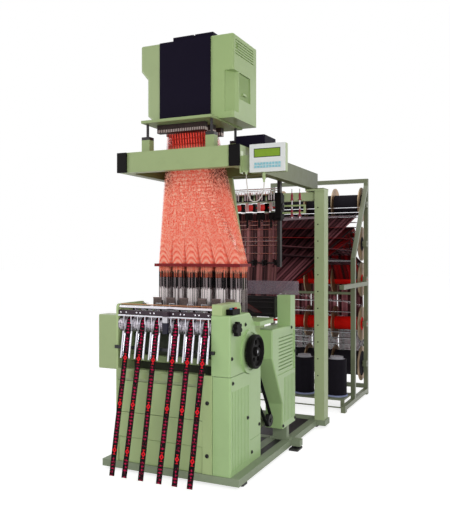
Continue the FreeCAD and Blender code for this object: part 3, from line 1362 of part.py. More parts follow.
post_ys = (sill_ys[0], sill_ys[1] - d.post_inset)
rear_beam_y = post_ys[0] + d.rear_beam_in
gantry = [
    box("side_beam_left", (-d.beam_out, -d.beam_in), (d.beam_front, sill_ys[1]), beams),
    box("side_beam_right", (d.beam_in, d.beam_out), (d.beam_front, sill_ys[1]), beams),
    box("front_beam", (-d.beam_in, d.beam_in), (d.beam_front, d.beam_front + d.front_beam_deep),
        beams),
    box("cross_front", (-d.beam_in, d.beam_in),
        (d.head_beam_y, d.head_beam_y + d.front_beam_deep),
        (d.beam_top - d.head_beam_high, d.beam_top)),
    box("cross_rear", (-d.beam_in, d.beam_in), (d.cross_front, d.cross_back), beams),
    box("post_left", (-d.post_out, -d.post_in), post_ys,
        (d.base_top, post_top)),
    box("post_right", (d.post_in, d.post_out), post_ys,
        (d.base_top, post_top)),
    box("plate_left", (-d.post_out, -d.beam_in), (sill_ys[0] - 10, sill_ys[1]),
        (post_top, d.beam_low)),
    box("plate_right", (d.beam_in, d.post_out), (sill_ys[0] - 10, sill_ys[1]),
        (post_top, d.beam_low)),
    box("rear_beam", (-d.post_in, d.post_in), (rear_beam_y, rear_beam_y + d.front_beam_deep),
        (d.rear_beam_z, d.rear_beam_z + d.rear_beam_high)),
    box("rack_bar", (-d.beam_in, d.beam_in), rack_ys, (d.rack_high, d.rack_high + d.rack_bar_high)),
    hanger("rack_hanger_right", d.hanger_in, d.hanger_out),
    hanger("rack_hanger_left", -d.hanger_out, -d.hanger_in),
    box("rack_rail", (-d.hanger_in, d.hanger_in), (rack_ys[1] - d.rack_rail_deep, rack_ys[1]),
        (d.rack_rail_z, d.rack_rail_z + d.rack_rail_high)),
]
rail_ys = (d.rack_y - d.rail_side / 2, d.rack_y + d.rail_side / 2)
rail_top = d.rail_z + d.rail_gap
gantry += [box("side_rail", (d.hanger_out, d.rail_reach), rail_ys, (z, z + d.rail_side))
           for z in (d.rail_z, rail_top)]
gantry.append(box("side_rail_end", (d.rail_reach - d.rail_side, d.rail_reach), rail_ys,
                  (d.rail_z, rail_top + d.rail_side)))
for sign, x in ((-1, -d.column_left), (1, d.column_right)):
    column = new_body("column", x, d.column_front, d.column_foot)
    high = comber_top - d.column_foot
    lean = -sign * d.column_lean
    rise = d.beam_low - d.column_foot
    pad(column, outline(column, "XZ", rect(0, d.column_wide, 0, high)), d.column_deep, back=True)
    brace = new_body("brace", x + (lean if sign > 0 else 0), d.column_front, comber_top)
    long = d.beam_low - comber_top
    over = d.column_lean
    loop = ([(over, 0), (over + d.column_wide, 0), (d.column_wide, long), (0, long)]
            if sign > 0 else
            [(0, 0), (d.column_wide, 0), (over + d.column_wide, long), (over, long)])
    pad(brace, outline(brace, "XZ", loop), d.column_deep, back=True)
    gantry += [column, brace]
node(fuse("gantry_frame", *gantry), "gantry_frame")
cap_ys = (d.beam_front - d.cap_thick, d.beam_front)
node(fuse("beam_end_caps",
          box("cap_left", (-d.beam_out - d.cap_proud, -d.beam_in - d.cap_inset), cap_ys, beams),
          box("cap_right", (d.beam_in + d.cap_inset, d.beam_out + d.cap_proud), cap_ys, beams)),
     "beam_end_caps")
comber = (d.comber_low, comber_top)
spring_top = d.spring_low + d.spring_thick
node(fuse("comber_boards",
          box("comber_board", (-d.comber_left, d.comber_right),
              (d.comber_front, d.column_front), comber),
          box("spring_board", (left_in, d.core_in),
              (d.spring_front, d.spring_front + d.spring_deep), (d.spring_low, spring_top))),
     "comber_boards")

# Harness: cords from the hooks down to the comber board, heddles below it
harness_sizes = {
    "cord_side": 3,  # harness cord, side of its square section
    "hooks_low": 2200,  # hook rows, underside
    "plate_low": 2257,  # head plate, underside
    "plate_top": 2275,  # head plate, top
    "hooks_left": 244,  # hook rows, left end from the centre
    "hooks_right": 104,  # hook rows, right end
    "hooks_front": 262,  # first hook row
    "hooks_back": 508,  # last hook row
    "heddle_front": 425,  # first heddle row
    "heddle_back": 535,  # last heddle row
    "heddle_first": -305,  # middle of the leftmost heddle group
    "heddle_pitch": 110,  # heddle groups, pitch
    "heddle_group": 76,  # heddle group, width
}
sizes(harness_sizes)
cord_rows = 3
cords_per_group = 6
side = float(d.cord_side) / 2


def strand(a, b):
    """Square cord between two points, its ends level."""
    rims = []
    for spot in (a, b):
        corners = [Vector(spot.x + u, spot.y + v, spot.z)
                   for u, v in ((-side, -side), (side, -side), (side, side), (-side, side))]
        rims.append(Part.makePolygon(corners + corners[:1]))
    return Part.makeLoft(rims, True, True)


cords = []
heddles = []
total = 6 * cords_per_group
for j in range(cord_rows):
    share = j / (cord_rows - 1)
    top_y = float(front + d.hooks_front + (d.hooks_back - d.hooks_front) * share)
    low_y = float(front + d.heddle_front + (d.heddle_back - d.heddle_front) * share)
    for i in range(total):
        group, k = divmod(i, cords_per_group)
        low_x = float(d.heddle_first + d.heddle_pitch * group
                      + d.heddle_group * (k / (cords_per_group - 1) - 0.5))
        top_x = float(-d.hooks_left + (d.hooks_left + d.hooks_right) * ((i + 0.5) / total))
        cords.append(strand(Vector(low_x, low_y, float(comber_top)),
                            Vector(top_x, top_y, float(d.hooks_low))))
        heddles.append(strand(Vector(low_x, low_y, float(spring_top)),
                              Vector(low_x, low_y, float(d.comber_low))))
node(solid("harness_cords", Part.makeCompound(cords)), "harness_cords")
node(solid("heddles", Part.makeCompound(heddles)), "heddles")

# Jacquard head on its stand
head_sizes = {
    "plate_left": 317,  # head plate, left edge from the centre
    "plate_right": 200,  # head plate, right edge
    "plate_front": 150,  # head plate, front edge
    "plate_back": 640,  # head plate, back edge
    "stand_rod": 9,  # head stand rod radius
    "stand_block": 2170,  # head stand blocks, top
    "face_left": 230,  # head front panel, left edge from the centre
    "face_right": 148,  # head front panel, right edge
    "face_thick": 10,  # head front panel, thickness
    "jacquard_front": 250,  # head, front
    "jacquard_back": 640,  # head, back
    "jacquard_top": 2804,  # head, top
    "left_cover_out": 381,  # head left cover, outer side from the centre
    "right_cover_out": 308,  # head right cover, outer side
    "head_wall": 5,  # head covers, wall
    "head_round": 14,  # head covers, rounding
    "vent_high": 38,  # vents, height
    "rod_left": 296,  # head stand, left rods from the centre
    "rod_right": 178,  # head stand, right rods
    "rod_front": 200,  # head stand, front rods
    "rod_back": 570,  # head stand, rear rods
    "block_side": 30,  # head stand blocks, half their width
    "block_back": 28,  # head stand blocks, half their depth
    "row_half": 22,  # hook rows, half their depth
    "row_past": 4,  # hook rows, past the end hooks
    "face_inset": 2,  # head front panel, inside the sides of the head
    "face_low": 8,  # head front panel, above the head plate
    "face_top": 4,  # head front panel, below the head's top
    "vent_left": 153,  # left vent, left end from the centre
    "vent_right": 12,  # right vent, left end
    "vent_front": 290,  # vents, front
    "vent_back": 560,  # vents, back
    "cheek_low": 49,  # head left cover, foot of its slanted front
    "cheek_high": 295,  # head left cover, foot of the upper slant
    "cheek_top": 355,  # head left cover, top of the upper slant
    "cheek_in": 51,  # head left cover, waist set back
    "cheek_foot": 111,  # head left cover, foot set back
    "skirt": 10,  # head right cover, reach below the head plate's top
    "skirt_in": 52,  # head right cover, inner side of the skirt
    "cover_skin": 94,  # head right cover, thickness of its moulded side
    "corner_wide": 62,  # head right cover, cut corner, width
    "corner_front": 12,  # head right cover, cut corner, depth of its face
    "corner_bend": 70,  # head right cover, cut corner, rear bend
    "corner_back": 84,  # head right cover, cut corner, depth at the side
    "corner_low": 43,  # head right cover, cut corner, lower end
    "corner_top": 305,  # head right cover, cut corner, upper end
    "grille_front": 92,  # head right cover, grille, front
    "grille_back": 275,  # head right cover, grille, back
    "grille_low": 135,  # head right cover, grille, lower edge
    "grille_deep": 12,  # head right cover, grille, depth
    "grille_rib": 5,  # head right cover, grille rib, width
    "grille_inset": 8,  # head right cover, ribs inside the grille
    "louvre_front": 30,  # head right cover, louvres, front
    "louvre_long": 300,  # head right cover, louvres, length
    "louvre_low": 410,  # head right cover, lowest louvre
    "louvre_high": 8,  # head right cover, louvre height
    "louvre_deep": 6,  # head right cover, louvre depth
    "louvre_row": 88,  # head right cover, first to last louvre
    "window_front": 40,  # head right cover, square recess, front
    "window_low": 452,  # head right cover, square recess, lower edge
    "window_side": 30,  # head right cover, square recess, side
    "eye_radius": 8,  # head right cover, round recess radius
    "recess_in": 14,  # head right cover, recesses, depth
    "grip_front": 150,  # head right cover, grip, front
    "grip_long": 50,  # head right cover, grip, length
    "grip_low": 168,  # head right cover, grip, lower edge
    "grip_high": 14,  # head right cover, grip, height
    "grip_out": 16,  # head right cover, grip, thickness
}
sizes(head_sizes)
rows = [box("hook_row", (-d.hooks_left - d.row_past, d.hooks_right + d.row_past),
            (y - d.row_half, y + d.row_half), (d.hooks_low, d.plate_low))
        for y in (d.hooks_front, (d.hooks_front + d.hooks_back) / 2, d.hooks_back)]
node(fuse("head_plate",
          box("plate", (-d.plate_left, d.plate_right), (d.plate_front, d.plate_back),
              (d.plate_low, d.plate_top)), *rows), "head_plate")
stand = []
for x in (-d.rod_left, d.rod_right):
    for y in (d.rod_front, d.rod_back):
        stand.append(rod("stand_rod", "z", (x, y, d.beam_top), d.plate_low - d.beam_top,
                         d.stand_rod))
        stand.append(box("stand_block", (x - d.block_side, x + d.block_side),
                         (y - d.block_back, y + d.block_back), (d.beam_top, d.stand_block)))
node(fuse("head_stand", *stand), "head_stand")
core = [box("core", (-d.face_left, d.face_right),
            (d.jacquard_front, d.jacquard_back), (d.plate_top, d.jacquard_top)),
        box("face", (d.face_inset - d.face_left, d.face_right - d.face_inset),
            (d.jacquard_front - d.face_thick, d.jacquard_front),
            (d.plate_top + d.face_low, d.jacquard_top - d.face_top))]
for x0, x1 in ((-d.vent_left, as_size(0)), (d.vent_right, d.face_right - 2 * d.face_inset)):
    core.append(box("vent", (x0, x1), (d.vent_front, d.vent_back),
                    (d.jacquard_top, d.jacquard_top + d.vent_high)))
node(fuse("head_core", *core), "head_core")

deep = d.jacquard_back - d.jacquard_front
left_cover = new_body("head_left_cover", -d.left_cover_out, d.jacquard_front, d.plate_top)
wide = d.left_cover_out - d.face_left
tall = d.jacquard_top - d.plate_top
shape = pad(left_cover, outline(left_cover, "XZ", [
    (d.cheek_foot, 0), (wide, 0), (wide, tall), (0, tall), (0, d.cheek_top),
    (d.cheek_in, d.cheek_high), (d.cheek_in, d.cheek_low)]), deep, back=True)
rounded(left_cover, shape, d.head_round, lambda e, m: m.x < float(wide) - 2 and (
    (m.y < 1 and m.z > 1) or (upright(e, Vector(0, 1, 0)) and m.z > 40)))
wall = d.head_wall
pocket(left_cover, outline(left_cover, "XZ", [
    (d.cheek_foot + 4, wall), (wide + wall, wall), (wide + wall, tall - wall),
    (wall, tall - wall), (wall, d.cheek_top + 2), (d.cheek_in + wall, d.cheek_high + 2),
    (d.cheek_in + wall, d.cheek_low + 3)], lift=-wall), deep - 2 * wall)
node(left_cover, "head_left_cover")

right_cover = new_body("head_right_cover", d.face_right, d.jacquard_front,
                       d.plate_top - d.skirt)
wide = d.right_cover_out - d.face_right
tall = d.jacquard_top - d.plate_top + d.skirt
shape = pad(right_cover, outline(right_cover, "XZ", [
    (0, d.skirt), (d.skirt_in, d.skirt), (d.skirt_in, 0), (wide, 0), (wide, tall), (0, tall)]),
    deep, back=True)
rounded(right_cover, shape, d.head_round, lambda e, m: m.z > float(d.skirt) + 2 and (
    m.x > float(wide) - 1 or (m.y < 1 and m.x > float(d.skirt_in) + 1)))
hollow = wide - d.cover_skin
pocket(right_cover, outline(right_cover, "XZ", [
    (-wall, d.skirt + wall), (hollow, d.skirt + wall), (hollow, tall - wall),
    (-wall, tall - wall)], lift=-wall), deep - 2 * wall)
pocket(right_cover, outline(right_cover, "XY", [
    (wide + 1, -1), (wide - d.corner_wide, -1), (wide - d.corner_wide, d.corner_front),
    (wide - 22, d.corner_bend), (wide + 1, d.corner_back)],
    lift=d.corner_top), d.corner_top - d.corner_low)
pocket(right_cover, outline(right_cover, "YZ", rect(
    d.grille_front, d.grille_back, d.grille_low, d.corner_top), lift=wide), d.grille_deep)
rib_y = d.grille_front + d.grille_inset
rib = pad(right_cover, outline(right_cover, "YZ", rect(
    rib_y, rib_y + d.grille_rib, d.grille_low + d.grille_rib, d.corner_top - d.grille_rib),
    lift=wide - d.grille_deep), d.grille_deep / 2)
along(right_cover, rib, "Y_Axis",
      d.grille_back - d.grille_front - 2 * d.grille_inset - d.grille_rib, 11)
louvre = pocket(right_cover, outline(right_cover, "YZ", rect(
    d.louvre_front, d.louvre_front + d.louvre_long, d.louvre_low,
    d.louvre_low + d.louvre_high), lift=wide), d.louvre_deep)
along(right_cover, louvre, "Z_Axis", d.louvre_row, 6)
pocket(right_cover, outline(right_cover, "YZ", rect(
    d.window_front, d.window_front + d.window_side, d.window_low, d.window_low + d.window_side),
    lift=wide), d.recess_in)
eye_spot = (d.grille_front + d.eye_radius, d.grip_low + 47)
pocket(right_cover, rings(right_cover, "YZ", (*eye_spot, d.eye_radius), lift=wide), d.recess_in)
pad(right_cover, outline(right_cover, "YZ", rect(
    d.grip_front, d.grip_front + d.grip_long, d.grip_low, d.grip_low + d.grip_high),
    lift=wide - d.grille_deep), d.grip_out)
node(right_cover, "head_right_cover")

# Control panel on its bracket, cable loop, supply box
control_sizes = {
    "panel_left": 501,  # control panel, left side from the centre
    "panel_wide": 226,  # control panel, width
    "panel_low": 1877,  # control panel, underside
    "panel_high": 168,  # control panel, height
    "panel_front": 50,  # control panel, front
    "panel_thick": 45,  # control panel, depth
    "cable_side": 6,  # panel cable, diameter
    "supply_left": 300,  # supply box, left side from the centre
    "supply_right": 500,  # supply box, right side
    "supply_high": 95,  # supply box, height
    "bracket_thick": 6,  # panel bracket plate, thickness
    "bracket_front": 70,  # panel bracket, front edge
    "bracket_back": 110,  # panel bracket, back edge
    "bracket_low": 1880,  # panel bracket plate, lower edge
    "bracket_top": 2017,  # panel bracket plate, upper edge
    "arm_thick": 15,  # panel bracket arm, thickness
    "arm_low": 1890,  # panel bracket arm, underside
    "arm_high": 100,  # panel bracket arm, height
    "lip_left": 455,  # cable lip, left end
    "lip_wide": 35,  # cable lip, width
    "lip_front": 62,  # cable lip, front edge
    "lip_high": 8,  # cable lip, thickness
    "gland_radius": 8,  # cable gland radius
    "gland_x": 472,  # cable gland, from the centre
    "gland_y": 75,  # cable gland, back from the front
    "panel_edge": 5,  # control panel, rounding
    "window_left": 28,  # control panel, window and key field, left edge
    "window_wide": 169,  # control panel, window, width
    "window_sill": 87,  # control panel, window, lower edge
    "window_high": 54,  # control panel, window, height
    "keys_wide": 175,  # control panel, key field, width
    "keys_low": 19,  # control panel, key field, lower edge
    "keys_high": 44,  # control panel, key field, height
    "key_wide": 14,  # control panel, key width
    "key_rise": 3,  # control panel, key height
    "key_row": 150,  # control panel, first to last key
    "plug_x": 86,  # control panel, cable plug from its left side
    "plug_y": 22,  # control panel, cable plug from its front
    "plug_radius": 10,  # control panel, plug radius
    "plug_long": 40,  # control panel, plug length
    "collar_radius": 6,  # control panel, plug collar radius
    "collar_long": 17,  # control panel, plug collar length
    "supply_front": 300,  # supply box, front
    "supply_deep": 200,  # supply box, depth
    "supply_round": 6,  # supply box, rounding
}
sizes(control_sizes)
lip_low = d.bracket_low + 5
node(fuse("panel_bracket",
          box("bracket_plate", (d.beam_out, d.beam_out + d.bracket_thick),
              (d.bracket_front, d.bracket_back), (d.bracket_low, d.bracket_top)),
          box("bracket_arm", (d.beam_out, d.panel_left),
              (d.bracket_back - d.arm_thick, d.bracket_back), (d.arm_low, d.arm_low + d.arm_high)),
          box("bracket_lip", (d.lip_left, d.lip_left + d.lip_wide), (d.lip_front, d.bracket_back),
              (lip_low, lip_low + d.lip_high)),
          rod("cable_gland", "z", (d.gland_x, d.gland_y, lip_low - 12), as_size(12),
              d.gland_radius)),
     "panel_bracket")
panel = new_body("panel_case", d.panel_left, d.panel_front, d.panel_low)
case = pad(panel, outline(panel, "XZ", rect(0, d.panel_wide, 0, d.panel_high)),
           d.panel_thick, back=True)
rounded(panel, case, d.panel_edge, lambda e, m: (m.y < 1 or upright(e, Vector(0, 1, 0))))
field_left = d.window_left
pocket(panel, outline(
    panel, "XZ",
    rect(field_left, field_left + d.window_wide, d.window_sill, d.window_sill + d.window_high),
    rect(field_left, field_left + d.keys_wide, d.keys_low, d.keys_low + d.keys_high)), 2)
key_x = (field_left + 5, field_left + 5 + d.key_wide)
low_key = d.keys_low + 6
high_key = d.keys_low + d.keys_high - 6 - d.key_wide
key = pad(panel, outline(panel, "XZ", rect(*key_x, high_key, high_key + d.key_wide),
                         rect(*key_x, low_key, low_key + d.key_wide), lift=-2), d.key_rise)
along(panel, key, "X_Axis", d.key_row, 9)
plug = (d.plug_x, d.plug_y)
pad(panel, rings(panel, "XY", (*plug, d.plug_radius)), d.plug_long, back=True)
pad(panel, rings(panel, "XY", (*plug, d.collar_radius), lift=-d.plug_long), d.collar_long,
    back=True)
node(panel, "panel_case")

cable_points = [(587, 72, 1820), (587, 72, 1784), (577, 68, 1741), (556, 65, 1712),
                (530, 64, 1702), (504, 66, 1714), (487, 69, 1748), (478, 73, 1800),
                (472, 75, 1842), (472, 75, 1873)]


def cord_tube(points, radius):
    """Round tube along straight runs joined by tangent arcs; also its length and radii."""
    spots = [Vector(x, float(front) + y, z) for x, y, z in points]
    edges = []
    radii = []
    last = spots[0]
    for a, b, c in zip(spots, spots[1:], spots[2:]):
        before = (b - a).normalize()
        after = (c - b).normalize()
        turn = before.getAngle(after)
        reach = 0.45 * min((b - a).Length, (c - b).Length)
        bend = reach / math.tan(turn / 2)
        radii.append(round(bend, 1))
        first = b - before * reach
        second = b + after * reach
        inward = (after - before).normalize()
        middle = b + inward * (bend / math.cos(turn / 2) - bend)
        edges.append(Part.makeLine(last, first))
        edges.append(Part.Arc(first, middle, second).toShape())
        last = second
    edges.append(Part.makeLine(last, spots[-1]))
    path = Part.Wire(edges)
    ring = Part.Wire(Part.makeCircle(radius, spots[0], (spots[1] - spots[0]).normalize()))
    pipe = path.makePipeShell([ring], True, True)
    return pipe, sum(e.Length for e in edges), radii


cable, cable_length, cable_radii = cord_tube(cable_points, float(d.cable_side) / 2)
section = math.pi * (float(d.cable_side) / 2) ** 2
print("cable length", round(cable_length), "radii", cable_radii,
      "volume share", round(cable.Volume / (section * cable_length), 4))
node(solid("panel_cable", cable), "panel_cable")
supply = new_body("supply_box", d.supply_left, d.supply_front, d.beam_top)
case = pad(supply, outline(supply, "XY", rect(0, d.supply_right - d.supply_left,
                                              0, d.supply_deep)), d.supply_high)
rounded(supply, case, d.supply_round, lambda e, m: m.z > 1)
node(supply, "supply_box")

# Yarn feeders between the rack hangers, tension box and shield on the warp stands
feed = [rod("feed_shaft", "x", (-d.hanger_out, d.rack_y, d.feed_z), 2 * d.hanger_out,
            d.feed_shaft)]
stars = [rod("star_shaft", "x", (-d.hanger_out, d.rack_y, d.star_z), 2 * d.hanger_out,
             d.star_shaft)]
for k in range(6):
    x = d.feed_first - d.feed_pitch * k
    feed.append(rod("feed_roller", "x", (x, d.rack_y, d.feed_z), d.feed_wide, d.feed_radius))
    wheel = new_body("star_wheel", d.star_first - d.star_pitch * k, d.rack_y, d.star_z)
    pad(wheel, rings(wheel, "YZ", (0, 0, d.star_radius - 10)), d.star_thick)
    tip = pad(wheel, outline(wheel, "YZ", [
        (-2 * d.star_tip, d.star_root), (2 * d.star_tip, d.star_root),
        (d.star_tip, d.star_radius), (-d.star_tip, d.star_radius)]), d.star_thick)
    around(wheel, tip, 7)
    stars.append(wheel)
node(fuse("feed_rollers", *feed), "feed_rollers")
node(fuse("star_wheels", *stars), "star_wheels")
warp_targets = [d.warp_low + d.warp_step * k for k in range(5)]
node(fuse("guide_rods", *[
    rod("guide_rod", "x", (-d.hanger_in, d.rack_y + y, z), 2 * d.hanger_in, d.guide_radius)
    for y, z in [(0, d.guide_top_z), (d.guide_back, d.guide_next_z)]
    + [(d.guide_back, z) for z in warp_targets]
    + [(-d.guide_back, d.guide_front_z + d.guide_front_rise),
       (-d.guide_back, d.guide_front_z)]]), "guide_rods")
tension_zs = (d.tension_low, d.tension_top)
end_ys = (d.tension_front, d.tension_case)
tension = [box("tension_case", (-d.left_stand, d.stand_in), (d.tension_case, d.tension_back),
               tension_zs),
           box("tension_end", (-d.left_stand, d.tension_end - d.left_stand), end_ys, tension_zs),
           box("tension_end", (d.stand_in - d.tension_end, d.stand_in), end_ys, tension_zs)]
first_z = d.tension_low + d.tension_first
for y, z in ((d.tension_rod_y, first_z), (d.tension_rod_y + 10, first_z + d.tension_pitch),
             (d.tension_rod_y, first_z + 2 * d.tension_pitch),
             (d.tension_rod_y + 25, first_z + 2.6 * d.tension_pitch)):
    tension.append(rod("tension_rod", "x", (d.tension_end / 2 - d.left_stand, y, z),
                       d.stand_in + d.left_stand - d.tension_end, d.tension_rod))
node(fuse("tension_box", *tension), "tension_box")
node(box("yarn_shield", (-d.left_stand - d.shield_left, d.stand_in + d.shield_right),
         (d.shield_y, d.shield_y + d.shield_thick),
         (d.stand_top, d.stand_top + d.shield_high)), "yarn_shield")

# Creel: side frames, five sectional warp beams, upright yarn drums, warp sheets
creel_sizes = {
    "creel_right": 505,  # right creel side, inner face
    "creel_left": 450,  # left creel side, inner face from the centre
    "creel_side": 40,  # creel members, width
    "creel_front": 2100,  # creel foot rails, front
    "creel_back": 3010,  # creel, back
    "creel_top": 2150,  # creel, top
    "inner_top": 1360,  # inner creel posts, top
    "warp_y": 2950,  # warp beams, back from the front
    "warp_shaft": 12,  # warp beam shaft radius
    "warp_flange": 170,  # warp beam flange radius
    "flange_thick": 8,  # warp beam flange thickness
    "drum_radius": 92,  # yarn drum radius
    "drum_y": 2350,  # yarn drums, back from the front
    "shelf_low": 85,  # creel shelf, underside
    "shelf_thick": 15,  # creel shelf, thickness
    "creel_foot": 20,  # creel foot rails, underside
    "creel_pad": 60,  # creel foot pads, length
    "inner_front": 2450,  # inner creel posts, front face
    "arm_front": 2060,  # creel side arms, front end
    "side_arm_low": 1085,  # creel side arms, underside
    "slant_top": 2080,  # slanted struts, top at the rear post
    "slant_high": 50,  # slanted struts, height at the rear post
    "bearing_half": 28,  # bearing blocks, half their height
    "low_bar": 60,  # low rear bar, underside
    "tie_radius": 6,  # tie rod radius
    "tie_in": 30,  # tie rod, behind the front of the foot rails
    "shelf_front": 2200,  # creel shelf, front
    "shelf_deep": 300,  # creel shelf, depth
    "shelf_leg": 30,  # creel shelf legs, side
    "flange_gap": 280,  # warp beam flanges, apart
    "flange_left": 340,  # leftmost warp beam flange, from the centre
    "flange_last": 266,  # right section of a warp beam, length
    "drum_flange": 8,  # yarn drum flange, past the yarn
    "drum_flange_high": 12,  # yarn drum flange, height
    "drum_high": 335,  # yarn drum, height of the yarn
    "drum_cap": 60,  # yarn drum cap, radius
    "drum_cap_high": 23,  # yarn drum cap, height
    "drum_tip": 20,  # yarn drum, radius of its flat tip
    "drum_left": 240,  # left yarn drum, from the centre
    "drum_mid": 90,  # middle yarn drum
    "drum_right": 400,  # right yarn drum
    "warp_thick": 2,  # warp sheets, thickness
    "warp_air": 0.4,  # warp sheets, off the wound barrels
    "warp_edge": 9,  # warp sheets, from the flanges
    "warp_narrow": 0.66,  # warp sheets, share of their width at the loom
    "barrel_1": 120,  # lowest warp beam, radius over the yarn
    "barrel_2": 65,  # second warp beam, radius over the yarn
    "barrel_3": 50,  # third warp beam, radius over the yarn
    "barrel_4": 70,  # fourth warp beam, radius over the yarn
    "barrel_5": 100,  # top warp beam, radius over the yarn
    "beam_1_z": 310,  # lowest warp beam, height
    "beam_2_z": 705,  # second warp beam, height
    "beam_3_z": 1145,  # third warp beam, height
    "beam_4_z": 1500,  # fourth warp beam, height
    "beam_5_z": 1890,  # top warp beam, height
}
sizes(creel_sizes)
warp_beams = ((d.beam_1_z, d.barrel_1), (d.beam_2_z, d.barrel_2), (d.beam_3_z, d.barrel_3),
              (d.beam_4_z, d.barrel_4), (d.beam_5_z, d.barrel_5))
rail_zs = (d.creel_foot, d.creel_foot + d.creel_side)
post_foot = rail_zs[1]
back = d.creel_back
inner_back = d.inner_front + d.creel_side
post_front = back - d.creel_side
creel = []
for inner, outer in ((d.creel_right, d.creel_right + d.creel_side),
                     (-d.creel_left - d.creel_side, -d.creel_left)):
    xs = (inner, outer)
    creel += [
        box("foot_rail", xs, (d.creel_front, back), rail_zs),
        box("foot_pad", xs, (d.creel_front, d.creel_front + d.creel_pad), (0, d.creel_foot)),
        box("foot_pad", xs, (back - d.creel_pad, back), (0, d.creel_foot)),
        box("rear_post", xs, (post_front, back), (post_foot, d.creel_top)),
        box("inner_post", xs, (d.inner_front, inner_back), (post_foot, d.inner_top)),
        box("side_arm", xs, (d.arm_front, post_front),
            (d.side_arm_low, d.side_arm_low + d.creel_side)),
    ]
    slant = new_body("slant", inner, d.inner_front, d.inner_top)
    rise = d.slant_top - d.inner_top
    reach = post_front - d.inner_front
    pad(slant, outline(slant, "YZ", [(0, 0), (d.creel_side, 0), (reach, rise - d.slant_high),
                                     (reach, rise)]), d.creel_side)
    creel.append(slant)
    for z, radius in warp_beams:
        block = box("bearing", xs, (d.warp_y - d.bearing_half, post_front),
                    (z - d.bearing_half, z + d.bearing_half))
        bore = rod("bearing_bore", "x", (inner - 2, d.warp_y, z), d.creel_side + 4,
                   d.warp_shaft + d.running)
        block = cut("bearing_bored", block, bore)
        creel.append(block)
creel += [
    box("top_bar", (-d.creel_left, d.creel_right), (post_front, back),
        (d.creel_top - d.creel_side, d.creel_top)),
    box("low_bar", (-d.creel_left, d.creel_right), (post_front, back),
        (d.low_bar, d.low_bar + d.creel_side)),
    rod("tie_rod", "x", (-d.creel_left - 5, d.creel_front + d.tie_in, d.creel_side),
        d.creel_right + d.creel_left + 10, d.tie_radius),
    box("shelf", (-d.creel_left, d.creel_right), (d.shelf_front, d.shelf_front + d.shelf_deep),
        (d.shelf_low, d.shelf_low + d.shelf_thick)),
]
for x0 in (-d.creel_left, d.creel_right - d.shelf_leg):
    creel.append(box("shelf_leg", (x0, x0 + d.shelf_leg),
                     (d.shelf_front, d.shelf_front + d.shelf_leg), (d.creel_foot, d.shelf_low)))
node(fuse("creel_frame", *creel), "creel_frame")

left_end = -d.creel_left - d.creel_side
right_end = d.creel_right + d.creel_side
flanges = [d.flange_gap * k - d.flange_left for k in range(3)]
flanges.append(flanges[2] + d.flange_last)
for k, (z, radius) in enumerate(warp_beams):
    beam = new_body("warp_beam_%d" % (k + 1), left_end, d.warp_y, z)
    parts = [(left_end, flanges[0], d.warp_shaft)]
    for a, b in zip(flanges, flanges[1:]):
        parts.append((a, a + d.flange_thick, d.warp_flange))
        parts.append((a + d.flange_thick, b, radius))
    parts.append((flanges[-1], flanges[-1] + d.flange_thick, d.warp_flange))
    parts.append((flanges[-1] + d.flange_thick, right_end, d.warp_shaft))
    turned(beam, shift(steps(*parts), left_end))
    node(beam, "warp_beam_%d" % (k + 1))

drums = []
shelf_top = d.shelf_low + d.shelf_thick
drum_rim = d.drum_radius + d.drum_flange
drum_top = d.drum_high + d.drum_cap_high
for x in (-d.drum_left, d.drum_mid, d.drum_right):
    drum = new_body("drum", x, d.drum_y, shelf_top)
    turned(drum, [(0, 0), (drum_rim, 0), (drum_rim, d.drum_flange_high),
                  (d.drum_radius, d.drum_flange_high), (d.drum_radius, d.drum_high),
                  (d.drum_cap, d.drum_high + 3), (d.drum_cap, drum_top),
                  (d.drum_tip, drum_top + 4), (0, drum_top + 4)],
           plane="XZ", axis="Z_Axis")
    drums.append(drum)
node(fuse("yarn_drums", *drums), "yarn_drums")

sheets = []
warp_y0 = float(front + d.warp_y)
warp_y1 = float(front + d.rack_y + d.guide_back + d.guide_radius + d.warp_air)
for (z, radius), target in zip(warp_beams, warp_targets):
    above = float(target) > float(z) - 30
    off = float(radius + d.warp_air)
    thick = float(d.warp_thick)
    z0 = float(z) + (off if above else -off - thick)
    z1 = float(target) - thick / 2
    for a, b in zip(flanges, flanges[1:]):
        x0 = float(a + d.flange_thick + d.warp_edge)
        x1 = float(b - d.warp_edge)
        ends = []
        for y, low_z, share in ((warp_y0, z0, 1.0), (warp_y1, z1, float(d.warp_narrow))):
            ends.append(Part.makePolygon([
                Vector(x0 * share, y, low_z), Vector(x1 * share, y, low_z),
                Vector(x1 * share, y, low_z + thick), Vector(x0 * share, y, low_z + thick),
                Vector(x0 * share, y, low_z)]))
        sheets.append(Part.makeLoft(ends, True, True))
node(solid("warp_sheets", Part.makeCompound(sheets)), "warp_sheets")

# Check every object, then write one STEP file per piece
doc.recompute()
bad = [item.Name for item in doc.Objects if "Invalid" in item.State or "Error" in item.State]
for item in doc.Objects:
    if item.TypeId in ("PartDesign::Pocket", "PartDesign::Groove"):
        if item.BaseFeature.Shape.Volume - item.Shape.Volume < 1e-3:
            bad.append(item.Name + " cuts nothing")
for item in nodes:
    if item.Shape.isNull() or not item.Shape.isValid() or not item.Shape.Solids:
        bad.append(item.Label + " has no valid solid")
if bad:
    raise ValueError("Not built: " + ", ".join(bad))
os.makedirs("parts", exist_ok=True)
for item in nodes:
    item.Shape.exportStep("parts/%s.step" % item.Label)
print(len(nodes), "pieces")
